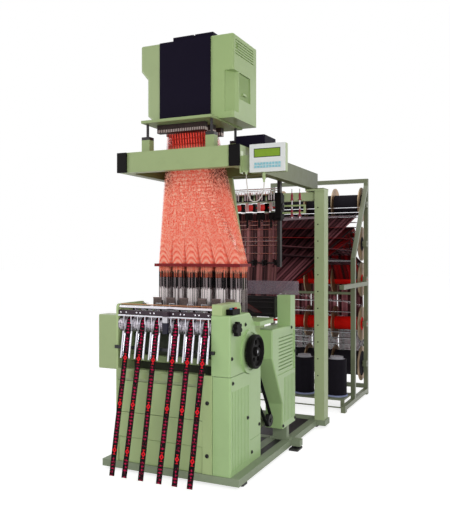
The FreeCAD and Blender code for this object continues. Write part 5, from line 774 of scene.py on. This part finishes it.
def harnessCord():
    # dyed polyester cord: salmon, flecked where cords cross, arched bands of light and dark
    # over each group near the comber board; specks of painted shade at the outer flanks,
    # stripes of painted shade between strands and darker up at the hooks, and a faint painted glow
    made = Shader("harnessCord", Roughness=0.62, Specular_IOR_Level=0.2)
    x, y, z = made.axes()
    tone = made.attribute("tone")
    rise = z - harness["combTop"]
    place = ((x - harness["first"]) / harness["pitch"] + 0.5) % 1.0 - 0.5
    waver = made.noise(9.0, 2.0)
    arch = saw(rise * 25.0 + place * place * 9.0 + waver * 0.9, 1.0) * 2.0
    near = made.ramp(rise * 4.0, [(0.0, (0.9, 0.9, 0.9, 1)), (1.0, (0, 0, 0, 1))])
    crossing = made.noise(95.0, 2.0, 0.6)
    fleck = made.fade(crossing, 0.42, 0.60)
    light = near * arch + (1.0 - near) * (fleck * 0.7 + tone * 0.3)
    colour = made.mix(light, linear(232, 72, 48), linear(255, 208, 182))
    aside = made.fade((abs(x - harness["middle"]) - harness["flank"]) * 16.0)
    edge = aside * made.fade((z - harness["flankLow"]) * 6.0)
    # specks of dark red over the outer flanks: painted shade
    flankShadeSpecks = crossing < 0.40 + edge * 0.10
    colour = made.mix(flankShadeSpecks * edge, colour, linear(70, 14, 12))
    # up at the hooks, dark stripes between bright strands: painted shade in the gaps
    stripe = saw(x, harness["stripe"]) > 0.24
    hookShadeStripes = made.mix(stripe, linear(92, 10, 12), linear(244, 82, 66))
    colour = made.mix(made.fade((z - harness["stripeLow"]) * 9.0), colour, hookShadeStripes)
    made.set("Base Color", colour)
    made.set("Emission Color", colour)
    made.set("Emission Strength", 0.13)  # painted glow, standing in for light let through the strands behind
    made.bump(saw(z, 0.0016), 0.2, 0.0003)
    return made.material


def heddleWire():
    # by height: orange cord, black sleeves of uneven length, white and pink loops, dark wire;
    # the outer wires of each group stay dark, so the white loops read as six blocks
    made = Shader("heddleWire", Roughness=0.6, Specular_IOR_Level=0.2)
    x, y, z = made.axes()
    tone = made.attribute("tone")
    height = z + tone * 0.030
    place = ((x - harness["first"]) / harness["pitch"] + 0.5) % 1.0
    inner = (abs(place - 0.5) < 0.33)
    loops = made.mix((tone > 0.30) * inner, linear(58, 34, 36), linear(255, 246, 246))
    colour = made.mix((tone > 0.5) * inner, linear(40, 30, 32), linear(236, 222, 224))
    sleeves = made.mix(tone > 0.86, linear(13, 9, 11), linear(216, 196, 200))
    ends = made.mix(tone > 0.72, linear(24, 12, 14), linear(244, 120, 90))
    orange = made.mix(tone, linear(240, 84, 60), linear(255, 180, 150))
    for edge, above in (("wireTop", loops), ("loopTop", sleeves), ("sleeveTop", ends),
                        ("cordLow", orange)):
        colour = made.mix(height > heddle[edge], colour, above)
    made.set("Base Color", colour)
    return made.material


def row(across, depth, height):  # strands side by side, each value one number or one a strand
    flat = np.zeros_like(across)
    return np.stack([across, flat + depth + frontY, flat + height], 1)


lowX, lowY, topX, topY = cordPlaces()
cords = bundle("harnessCords", row(lowX, lowY, harness["combTop"]),
               row(topX, topY, harness["hooksLow"]), harness["radius"], harnessCord())
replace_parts(cords, "harness_cords")
heddles = bundle("heddles", row(lowX, lowY, heddle["low"]), row(lowX, lowY, heddle["top"]),
                 heddle["radius"], heddleWire())
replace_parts(heddles, "heddles")
print("harness:", len(lowX), "cords")


# ribbons: over the take-up roller's front, then straight down with a slow sway and a drift
ribbonSheet = {"middles": (-0.308, -0.205, -0.102, 0.036, 0.139, 0.242), "wide": 0.038,
               "thick": 0.0009, "drifts": (-0.022, -0.035, -0.018, -0.029, -0.026, -0.027),
               "rollY": 0.045, "rollZ": 0.945, "wrap": 0.0508, "endY": -0.165, "endZ": 0.024,
               "rowsAround": 18, "rowsDown": 120, "across": 8, "repeat": 0.284,
               "phase": 0.136, "curl": 0.0006, "sway": 0.0022}
ribbonSlope = (-ribbonSheet["endY"] - 0.006) / (ribbonSheet["rollZ"] - 0.022)  # forward a fall


def ribbonCloth():
    # jacquard ribbon: black ground, a bright red lozenge with two wedges once per repeat,
    # and between them a crimson lattice of small lozenges; weft ribs across
    made = Shader("ribbonCloth", Roughness=0.85, Specular_IOR_Level=0.12)
    u, v = made.axes(made.node("ShaderNodeUVMap", {"uv_map": "cloth"}))[:2]
    across = abs(u - 0.5) * 2.0
    middle = saw(v + ribbonSheet["phase"], ribbonSheet["repeat"])
    lozenge = across * 0.75 + middle * 9.0
    wedge = between(middle, 0.074, 0.096) * (across < (middle - 0.060) * 16.0)
    small = (saw(u * 3.0, 1.0) + saw(v, 0.020)) < 0.42
    worn = made.noise(70.0, 1.0) > 0.44
    lattice = (middle > 0.14) * (across < 0.60) * small * worn
    bright = made.speckle(300.0, (196, 10, 26), (246, 40, 52))
    crimson = made.speckle(300.0, (176, 8, 54), (226, 24, 92))
    black = made.speckle(180.0, (7, 4, 6), (20, 13, 16), 4.0)
    colour = made.mix(lattice, black, crimson)
    made.set("Base Color", made.mix((lozenge < 0.62) - (lozenge < 0.20) + wedge, colour, bright))
    cord = saw(u * 44.0, 1.0)
    made.bump(saw(v, 0.0011) + cord * 0.6 + lattice * 0.35, 0.45, 0.0004)
    return made.material


def ribbonLine(drift, phase):
    # middle line: quarter turn over the roller, then down; returns points and run length
    wrap = ribbonSheet["wrap"]
    angle = np.linspace(np.pi / 2, np.pi - math.atan(ribbonSlope), ribbonSheet["rowsAround"])
    around = np.stack([ribbonSheet["rollY"] + wrap * np.cos(angle),
                       ribbonSheet["rollZ"] + wrap * np.sin(angle)], 1)
    last = around[-1]
    share = np.linspace(0, 1, ribbonSheet["rowsDown"] + 1)[1:]
    sway = ribbonSheet["sway"] * np.sin(share * 7.0 + phase) * share * (1.0 - 0.3 * share)
    down = np.stack([last[0] + (ribbonSheet["endY"] - last[0]) * share + sway,
                     last[1] + (ribbonSheet["endZ"] - last[1]) * share], 1)
    line = np.concatenate([around, down])
    shift = np.concatenate([np.zeros(len(around)), drift * share])
    step = np.sqrt((np.diff(line, axis=0) ** 2).sum(1) + np.diff(shift) ** 2)
    return line, shift, np.concatenate([[0.0], np.cumsum(step)])


def ribbonPiece(index, middle, drift, material):
    # sheet: u across the width, v along the middle line; edges curl by a hair
    line, shift, run = ribbonLine(drift, index * 1.7)
    u = np.linspace(0, 1, ribbonSheet["across"] + 1)
    curl = ribbonSheet["curl"] * np.abs(2 * u - 1) ** 3
    free = np.clip(run - 0.10, 0, 0.2) / 0.2  # none on the roller, all 0.3 m on
    x = middle + shift[:, None] + (u[None] - 0.5) * ribbonSheet["wide"]
    y = line[:, :1] + frontY - curl[None] * free[:, None]
    z = np.repeat(line[:, 1:], len(u), axis=1)
    points = np.stack([x, y, z], axis=-1).reshape(-1, 3)
    wide = len(u)
    rows, cols = np.meshgrid(np.arange(len(run) - 1), np.arange(wide - 1), indexing="ij")
    here = (rows * wide + cols).ravel()
    faces = np.stack([here, here + wide, here + wide + 1, here + 1], 1)
    item = newPiece("ribbon%d" % (index + 1), points, faces, material, "machine", True)
    layer = item.data.uv_layers.new(name="cloth")
    corners = np.stack([np.tile(u, len(run)), np.repeat(run, wide)], 1)
    layer.data.foreach_set("uv", corners[faces.ravel()].ravel())
    solid = item.modifiers.new("thick", "SOLIDIFY")
    solid.thickness = ribbonSheet["thick"]
    solid.offset = 1.0
    return item


cloth = ribbonCloth()
for index, (middle, drift) in enumerate(zip(ribbonSheet["middles"], ribbonSheet["drifts"])):
    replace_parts(ribbonPiece(index, middle, drift, cloth), "woven_ribbons")
print("ribbons")


# warp: the two lowest beams' yarn rises behind the beams, the others' leaves their fronts or
# undersides; all pass a rod on the creel's posts and struts, then the rack's guide rods
warp = {"targets": (1.400, 1.460, 1.520, 1.580, 1.640), "rodY": 1.0175, "narrow": 0.66,
        "perSection": 120, "radius": 0.0011, "clear": 0.0012,
        "sections": ((-0.330, -0.062), (-0.050, 0.218), (0.230, 0.484)),
        "rearRods": ((2.998, 1.255), (2.998, 1.305)), "rodRadius": 0.005,
        "frontRods": ((2.470, 1.335), (2.520, 1.4295), (2.600, 1.541), (2.680, 1.652),
                      (2.760, 1.763)),
        "bareRods": tuple([(2.500 + 0.036 * k, 1.402 + 0.050 * k) for k in range(10)]
                          + [(2.470, 0.560 + 0.055 * k) for k in range(3)]
                          + [(2.470, 0.860), (2.470, 0.960)]), "rodEnds": (-0.453, 0.508)}
# behind the rack all warps drop to the tension box; strands in line with a star wheel are
# shown only above and below it
drop = {"top": 1.700, "box": (0.985, 1.086), "narrow": 0.98, "starMiddle": 0.212,
        "starPitch": 0.080, "starHalf": 0.0095, "aboveStar": (1.0132, 1.358),
        "belowStar": (1.0068, 1.298), "underBox": (0.990, 1.0866)}


def yarn(name, first, second):
    # spun yarn: colour by strand, faint twist along it
    made = Shader(name, Roughness=0.7, Specular_IOR_Level=0.15)
    made.set("Base Color", made.mix(made.attribute("tone"), first, second))
    made.bump(made.noise(900.0), 0.3, 0.0003)
    return made.material


def banded(across, seed):  # strand tones: broad uneven bands with single odd strands
    wave = np.sin(across * 61.0 + seed) + np.sin(across * 147.0 + 2.3 * seed)
    odd = np.random.default_rng(int(seed * 10)).random(len(across))
    return np.clip(0.32 + 0.22 * wave + 0.5 * (odd - 0.5), 0, 1)


def strands(name, places, material, tone=None):
    # places: rows of points that every strand of the set passes, one after another
    count = len(places[0])
    if tone is None:
        tone = np.random.default_rng(len(name) + count).random(count)
    return bundle(name, np.concatenate(places[:-1]), np.concatenate(places[1:]),
                  warp["radius"], material, tone=np.tile(tone, len(places) - 1))


# yarn colours run down to near black at their dark ends: partly the yarns' own tones, partly
# painted shade of the dense sheets
redWarp = yarn("redWarp", linear(30, 2, 4), linear(186, 10, 18))
mixedWarp = yarn("mixedWarp", linear(46, 3, 8), linear(206, 130, 140))
paleWarp = yarn("paleWarp", linear(30, 20, 26), linear(178, 146, 156))
lowWarp = yarn("lowWarp", linear(14, 9, 12), linear(120, 72, 84))
darkWarp = yarn("darkWarp", linear(12, 8, 12), linear(122, 10, 20))
beamAcross = np.concatenate([np.linspace(a, b, warp["perSection"])
                             for a, b in warp["sections"]])
evenAcross = np.linspace(beamAcross[0], beamAcross[-1], len(beamAcross)) * warp["narrow"]
rodAcross = evenAcross / warp["narrow"] * 0.99
lift = warp["rodRadius"] + 0.001
for index, ((z, radius, kind), target) in enumerate(zip(beams, warp["targets"])):
    off = radius + warp["clear"]
    rodY, rodZ = warp["frontRods"][index]
    if index < len(warp["rearRods"]):
        rearY, rearZ = warp["rearRods"][index]
        path = [row(beamAcross, beamY + off, z),
                row(beamAcross, rearY + lift, rearZ), row(beamAcross, rearY, rearZ + lift)]
    elif index < 4:
        path = [row(beamAcross, beamY - off, z)]
    else:
        path = [row(beamAcross, beamY, z - off)]
    path += [row(rodAcross, rodY, rodZ + lift), row(evenAcross, warp["rodY"], target)]
    sheet = strands("warpYarns%d" % (index + 1), path,
                    (lowWarp, mixedWarp, redWarp, redWarp, paleWarp)[index],
                    banded(beamAcross, index + 1.0))
    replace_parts(sheet, "warp_sheets")

halfPitch = drop["starPitch"] / 2
fromStar = np.abs((evenAcross - drop["starMiddle"] + halfPitch) % drop["starPitch"] - halfPitch)
dropAcross = evenAcross[fromStar > drop["starHalf"]]
inLine = evenAcross[fromStar <= drop["starHalf"]]
# the drop yarns' dark ends: partly their own tones, partly painted shade
dropYarn = yarn("dropWarp", linear(30, 12, 15), linear(168, 112, 112))
darkDrop = yarn("darkDrop", linear(26, 10, 13), linear(140, 88, 92))
dropYarns = strands("warpDrop", [row(dropAcross, warp["rodY"], drop["top"]),
                                 row(dropAcross, warp["rodY"], warp["targets"][0]),
                                 row(dropAcross * drop["narrow"], *drop["box"])],
                    dropYarn, banded(dropAcross, 9.0))
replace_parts(dropYarns, "warp_sheets")
lowDrop = strands("warpDropLow", [row(inLine, *drop["belowStar"]),
                                  row(inLine * drop["narrow"], *drop["box"])],
                  darkDrop, banded(inLine, 10.0))
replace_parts(lowDrop, "warp_sheets")
inLineRight = inLine[inLine > 0.0]  # further left the photo looks through the rack
highDrop = strands("warpDropHigh", [row(inLineRight, warp["rodY"], drop["top"]),
                                    row(inLineRight, *drop["aboveStar"])],
                   darkDrop, banded(inLineRight, 10.0))
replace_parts(highDrop, "warp_sheets")

rodLow, rodHigh = warp["rodEnds"]
creelRods = fitted("creelRods", [
    roundBar(rodLow, rodHigh, warp["rodRadius"], "x", (0, y + frontY, z), 16)
    for y, z in warp["rearRods"] + warp["frontRods"] + warp["bareRods"]], materials["chrome"])

# some of the upper beams' yarn passes under the rack, straight from the strut rods
for index, finish in ((2, redWarp), (3, darkWarp), (4, mixedWarp)):
    depth, height = warp["frontRods"][index]
    under = strands("warpUnder%d" % (index + 1), [
        row(rodAcross, depth, height - lift),
        row(beamAcross * warp["narrow"], *drop["underBox"])], finish,
        banded(beamAcross, index + 4.5))

# creel: a thin cross bar and an upright that steady the yarn between the beams
creelSteady = fitted("creelSteady", [
    box((-0.452, 0.508), (2.452, 2.476), (1.020, 1.044)),
    box((0.156, 0.180), (2.440, 2.452), (0.480, 1.150))], materials["grey_paint"], 0.0015)
print("warp yarns")

# loom yarns: six bands from the tension rods to the heddle groups
loomYarn = {"perGroup": 40, "wide": 0.060, "from": (0.886, 0.968), "to": (0.540, 1.064),
            "narrow": 0.9}
groupAcross = np.concatenate([
    harness["first"] + harness["pitch"] * group
    + np.linspace(-0.5, 0.5, loomYarn["perGroup"]) * loomYarn["wide"]
    for group in range(harness["groups"])])
strands("loomYarns", [row(groupAcross * loomYarn["narrow"], *loomYarn["from"]),
                      row(groupAcross, *loomYarn["to"])], darkWarp)
print("loom yarns")

# covers: black flanged screws with a domed head and a round socket sunk in it
coverScrews = {"radius": 0.0125, "rise": 0.007, "socket": 0.0045, "side": (
    (0.400, 0.024, 0.768), (0.400, 0.229, 0.954), (0.402, 0.034, 0.620), (0.402, 0.262, 0.365),
    (0.400, 0.330, 0.130), (0.400, 0.455, 0.280), (0.430, 1.009, 0.860), (0.430, 1.090, 0.679),
    (0.430, 1.082, 0.186), (0.430, 0.832, 0.180)), "front": (
        (0.249, -0.0035, 0.495), (0.247, -0.0035, 0.176))}


def screwHeads(axis, sign, places):
    # profile: flange, domed cap, socket and its floor; sign turns it towards the viewer
    radius, rise, socket = (coverScrews[key] for key in ("radius", "rise", "socket"))
    profile = [(-0.001, 0.0), (-0.001, radius), (0.0018, radius), (0.0022, radius * 0.74),
               (rise * 0.72, radius * 0.70), (rise, radius * 0.52), (rise, socket),
               (rise * 0.35, socket * 0.9), (rise * 0.35, 0.0)]
    points, faces = lathe([(a * sign, r) for a, r in profile], 24, axis)
    return placed((points, faces[:, ::sign]), [(x, y + frontY, z) for x, y, z in places])


screws = fitted("coverScrewHeads", [screwHeads("x", 1, coverScrews["side"]),
                                    screwHeads("y", -1, coverScrews["front"])],
                plastic("blackOxide", linear(16, 15, 17), 0.35, 700.0, 0.04, 0.35))
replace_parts(screws, "cover_screws")

# handwheel: dished disc behind the spokes
wheel = {"x": 0.4285, "y": 0.290, "z": 0.780, "radius": 0.097}
disc = lathe([(0.0, 0.0), (0.0, wheel["radius"]), (0.003, wheel["radius"]),
              (0.0045, wheel["radius"] * 0.9), (0.0015, wheel["radius"] * 0.45),
              (0.004, 0.022), (0.004, 0.0)], 64, "x",
             (wheel["x"], wheel["y"] + frontY, wheel["z"]))
wheelDisc = newPiece("handwheelDisc", *disc, materials["black_plastic"], "main_drive", True)
print("cover screws and handwheel")

# breast: steel lips that carry the ribbon guides up to the roller, flanges that lean with the
# ribbons, dark guard behind
breast = {"shift": 0.004, "half": 0.028, "wall": 0.003, "lipY": (-0.0145, -0.0080),
          "lipZ": (0.885, 0.952), "clipY": (-0.019, -0.0080), "clipZ": (0.952, 0.998)}
flange = {"low": 0.736, "top": 0.905, "back": 0.012, "thick": 0.002, "wide": 0.010}
guard = {"x": (-0.3955, 0.2905), "front": 0.191, "thick": 0.002, "low": 0.600, "top": 0.940,
         "fold": 0.012}
brightLips = metal("brightLips", linear(228, 228, 236), 0.16, (500, 500, 30), 0.05)
halfWall = breast["wall"] / 2
walls = [(middle - breast["shift"] + side * (breast["half"] - halfWall), side)
         for middle in ribbonSheet["middles"] for side in (-1, 1)]
lipShapes = []
for x, side in walls:
    lipShapes.append(boxAt(x, 0.0, ((-halfWall, halfWall), breast["lipY"], breast["lipZ"])))
    lipShapes.append(boxAt(x, 0.0, ((-2 * halfWall, 2 * halfWall), breast["clipY"],
                                    breast["clipZ"])))
for x, side in walls:
    points, faces = box(sorted((x, x + side * flange["wide"])), (0.0, flange["thick"]),
                        (flange["low"], flange["top"]))
    points[:, 1] -= flange["back"] + (ribbonSheet["rollZ"] - points[:, 2]) * ribbonSlope
    lipShapes.append((points, faces))
lips = fitted("guideLips", lipShapes, brightLips, 0.0012)
innerGuard = fitted("innerGuard", [
    box(guard["x"], (guard["front"], guard["front"] + guard["thick"]),
        (guard["low"], guard["top"])),
    box(guard["x"], (guard["front"] - guard["fold"], guard["front"]),
        (guard["top"] - guard["thick"], guard["top"]))],
    paint("guardEnamel", linear(70, 74, 60), 0.5, 0.0, 0.2))

# weaving heads: steel plates, black shuttle blocks and springs behind the breast rods; spans
# are across from each ribbon's middle, depth, height
heads = {"plate": ((-0.030, 0.030), (0.092, 0.150), (1.012, 1.020)), "wallOff": 0.024,
         "wall": ((-0.002, 0.002), (0.098, 0.146), (1.020, 1.046)),
         "block": ((-0.044, -0.031), (0.104, 0.140), (1.008, 1.052)),
         "spring": (0.039, 0.112, 1.012)}
plateShapes, blackShapes, springShapes = [], [], []
for middle in ribbonSheet["middles"]:
    plateShapes += [boxAt(middle, 0.0, heads["plate"])] + [
        boxAt(middle + side * heads["wallOff"], 0.0, heads["wall"]) for side in (-1, 1)]
    blackShapes.append(boxAt(middle, 0.0, heads["block"]))
    aside, depth, height = heads["spring"]
    springShapes.append(coil((middle + aside, depth, height), 0.0042, 7, 14, 0.036, 0.0009))
shedPlates = fitted("shedPlates", plateShapes, brightLips, 0.0008)
shedBlocks = fitted("shedBlocks", blackShapes, materials["black_plastic"], 0.0015)
shedSprings = fitted("shedSprings", springShapes, brightLips, smooth=True)
print("breast details")

# rack: gearbox with its dial between the hangers and the side rails
rack = {"y": 1.000, "boxX": (0.3185, 0.365), "boxY": (0.962, 1.038), "boxZ": (1.655, 1.832),
        "earX": (0.300, 0.360), "earY": (0.972, 1.028), "earHigh": (1.832, 1.846),
        "earLow": (1.641, 1.655), "dial": (0.3655, 1.745),
        "feedX": [-0.187 + 0.095 * k for k in range(6)], "feedZ": 1.740,
        "starX": [-0.205 + 0.080 * k for k in range(7)], "starZ": 1.330}
gearbox = fitted("rackGearbox", [box(rack["boxX"], rack["boxY"], rack["boxZ"]),
                                 box(rack["earX"], rack["earY"], rack["earHigh"]),
                                 box(rack["earX"], rack["earY"], rack["earLow"])],
                 materials["black_plastic"], 0.003)
dialX, dialZ = rack["dial"]
dial = lathe([(0.0, 0.0), (0.0, 0.026), (0.006, 0.026), (0.009, 0.022), (0.009, 0.012),
              (0.014, 0.011), (0.014, 0.0)], 32, "x", (dialX, rack["y"] + frontY, dialZ))
gearboxDial = newPiece("gearboxDial", *dial, materials["dark_steel"])

# feed: at each roller a steel plate with its upright, three fingers and a coil spring, and
# black blocks; spans are across from the roller's middle, depth, up from the shaft
feed = {"plate": ((-0.0125, 0.0125), (0.962, 1.030), (0.032, 0.036)),
        "upright": ((-0.0125, 0.0125), (0.958, 0.962), (-0.030, 0.036)),
        "finger": ((-0.0045, 0.0045), (0.968, 0.974), (0.052, 0.112)),
        "fingersAt": (-0.020, 0.000, 0.020),
        "clamp": ((-0.011, 0.011), (0.978, 1.022), (-0.030, 0.030)),
        "blocks": (((-0.036, 0.036), (0.974, 1.004), (0.046, 0.092)),
                   ((-0.028, 0.028), (0.984, 1.006), (-0.088, -0.036)),
                   ((-0.014, 0.002), (0.976, 0.984), (-0.150, -0.060))),
        "starBlock": ((0.029, 0.045), (0.984, 1.016), (-0.016, 0.022)),
        "halfPitch": 0.0475, "springUp": 0.037}
fingerShapes, clampShapes, coilShapes = [], [], []
for middle in rack["feedX"]:
    # the last clamp stands before its roller, the others after theirs
    aside = feed["halfPitch"] if middle < rack["feedX"][-1] else -feed["halfPitch"]
    clampShapes.append(boxAt(middle + aside, rack["feedZ"], feed["clamp"]))
    fingerShapes += [boxAt(middle, rack["feedZ"], feed[key]) for key in ("plate", "upright")]
    coilShapes.append(coil((middle, 0.990, rack["feedZ"] + feed["springUp"]), 0.005, 9, 12,
                           0.048, 0.0010))
clampShapes += [boxAt(middle, rack["starZ"], feed["starBlock"]) for middle in rack["starX"]]
for middle in rack["feedX"]:
    clampShapes += [boxAt(middle, rack["feedZ"], spans) for spans in feed["blocks"]]
    fingerShapes += [boxAt(middle + side, rack["feedZ"], feed["finger"])
                     for side in feed["fingersAt"]]
feedFingers = fitted("feedFingers", fingerShapes, materials["bright_steel"], 0.0008)
feedClamps = fitted("feedClamps", clampShapes, materials["black_plastic"], 0.0015)
feedSprings = fitted("feedSprings", coilShapes, materials["bright_steel"], smooth=True)

# yarn guides: rows of small eyelets on two thin bars, a coloured stop weight by each
eyelets = {"bars": ((1.012, 1.868), (1.012, 1.700)), "half": 0.300, "margin": 0.020,
           "over": 0.032, "bar": 0.003, "count": 44, "ring": 0.0042, "wire": 0.0009,
           "weightTop": (1.006, 1.858), "weight": 0.030}
barShapes, eyeShapes = [], []
barHalf = eyelets["half"] + eyelets["over"]
eyeHalf = eyelets["half"] - eyelets["margin"]
eyeX = np.linspace(-eyeHalf, eyeHalf, eyelets["count"])
angle = np.linspace(0, 2 * np.pi, 11)
eye = tube(np.stack([eyelets["ring"] * np.cos(angle), np.full_like(angle, -0.004),
                     eyelets["ring"] * np.sin(angle) - eyelets["ring"]], 1), eyelets["wire"], 5)
for depth, height in eyelets["bars"]:
    barShapes.append(roundBar(-barHalf, barHalf, eyelets["bar"], "x",
                              (0, depth + frontY, height)))
    eyeShapes.append(placed(eye, [(x, depth + frontY, height) for x in eyeX]))
eyeletBars = fitted("eyeletBars", barShapes + eyeShapes, materials["chrome"])


def weightFinish():
    # stop weights: red and white plastic by turns across the rack
    made = Shader("stopWeights", Roughness=0.4)
    turn = made.noise(34.0, 0.0, 0.5) > 0.5
    made.set("Base Color", made.mix(turn, linear(196, 26, 36), linear(214, 208, 212)))
    made.bump(made.noise(800.0), 0.1, 0.0002)
    return made.material


weightSpan = lathe([(0.0, 0.0), (0.0, 0.0022), (-eyelets["weight"], 0.0028),
                    (-eyelets["weight"], 0.0)], 8, "z")
weightY, weightZ = eyelets["weightTop"]
weights = placed(weightSpan, [(x, weightY + frontY, weightZ) for x in eyeX])
newPiece("stopWeights", *weights, weightFinish(), smooth=True)

# spindles on the side rails: two dark red lay-in bobbins each, on a steel peg
spindle = {"x": (0.437, 0.497), "low": 1.668, "top": 1.850, "radius": 0.0155, "tall": 0.056,
           "steps": (0.0, 0.118), "peg": (1.656, 1.870), "pegRadius": 0.004}
bobbin = lathe([(0.0, 0.0), (0.0, spindle["radius"] * 0.9), (0.004, spindle["radius"]),
                (0.007, spindle["radius"] * 0.6),
                (spindle["tall"] * 0.7, spindle["radius"] * 0.55),
                (spindle["tall"], spindle["radius"] * 0.3), (spindle["tall"], 0.0)], 24, "z")
spindles = newPiece("sideSpindles", *placed(bobbin, [
    (x, rack["y"] + frontY, spindle["low"] + step) for x in spindle["x"]
    for step in spindle["steps"]]),
    wound("spindleYarn", linear(74, 10, 22), linear(168, 36, 58)), smooth=True)
spindlePegs = fitted("spindlePegs", [
    roundBar(*spindle["peg"], spindle["pegRadius"], "z", (x, rack["y"] + frontY, 0.0))
    for x in spindle["x"]], materials["chrome"])
print("rack details")

# gantry posts: a row of bolt holes down the front face, each a black disc of painted shade
postHoles = {"x": (-0.468, 0.468), "y": 1.540, "low": 0.420, "pitch": 0.135, "count": 11,
             "radius": 0.0055, "proud": 0.0012}
points, faces = placed(
    roundBar(0.0, -postHoles["proud"], postHoles["radius"], "y"),
    [(x, postHoles["y"] + frontY, postHoles["low"] + postHoles["pitch"] * k)
     for x in postHoles["x"] for k in range(postHoles["count"])])
postHoleShade = newPiece("postHoleShade", points, faces[:, ::-1], materials["black_plastic"])

# bright strip between the breast bar and the take-up roller, split by the middle bearing
strip = {"spans": ((-0.394, -0.051), (-0.015, 0.274)), "y": (-0.0060, 0.0030),
         "z": (0.9985, 1.0070)}
breastStrip = fitted("breastStrip", [box(span, strip["y"], strip["z"])
                                     for span in strip["spans"]], brightLips, 0.0012)
print("posts and strip")
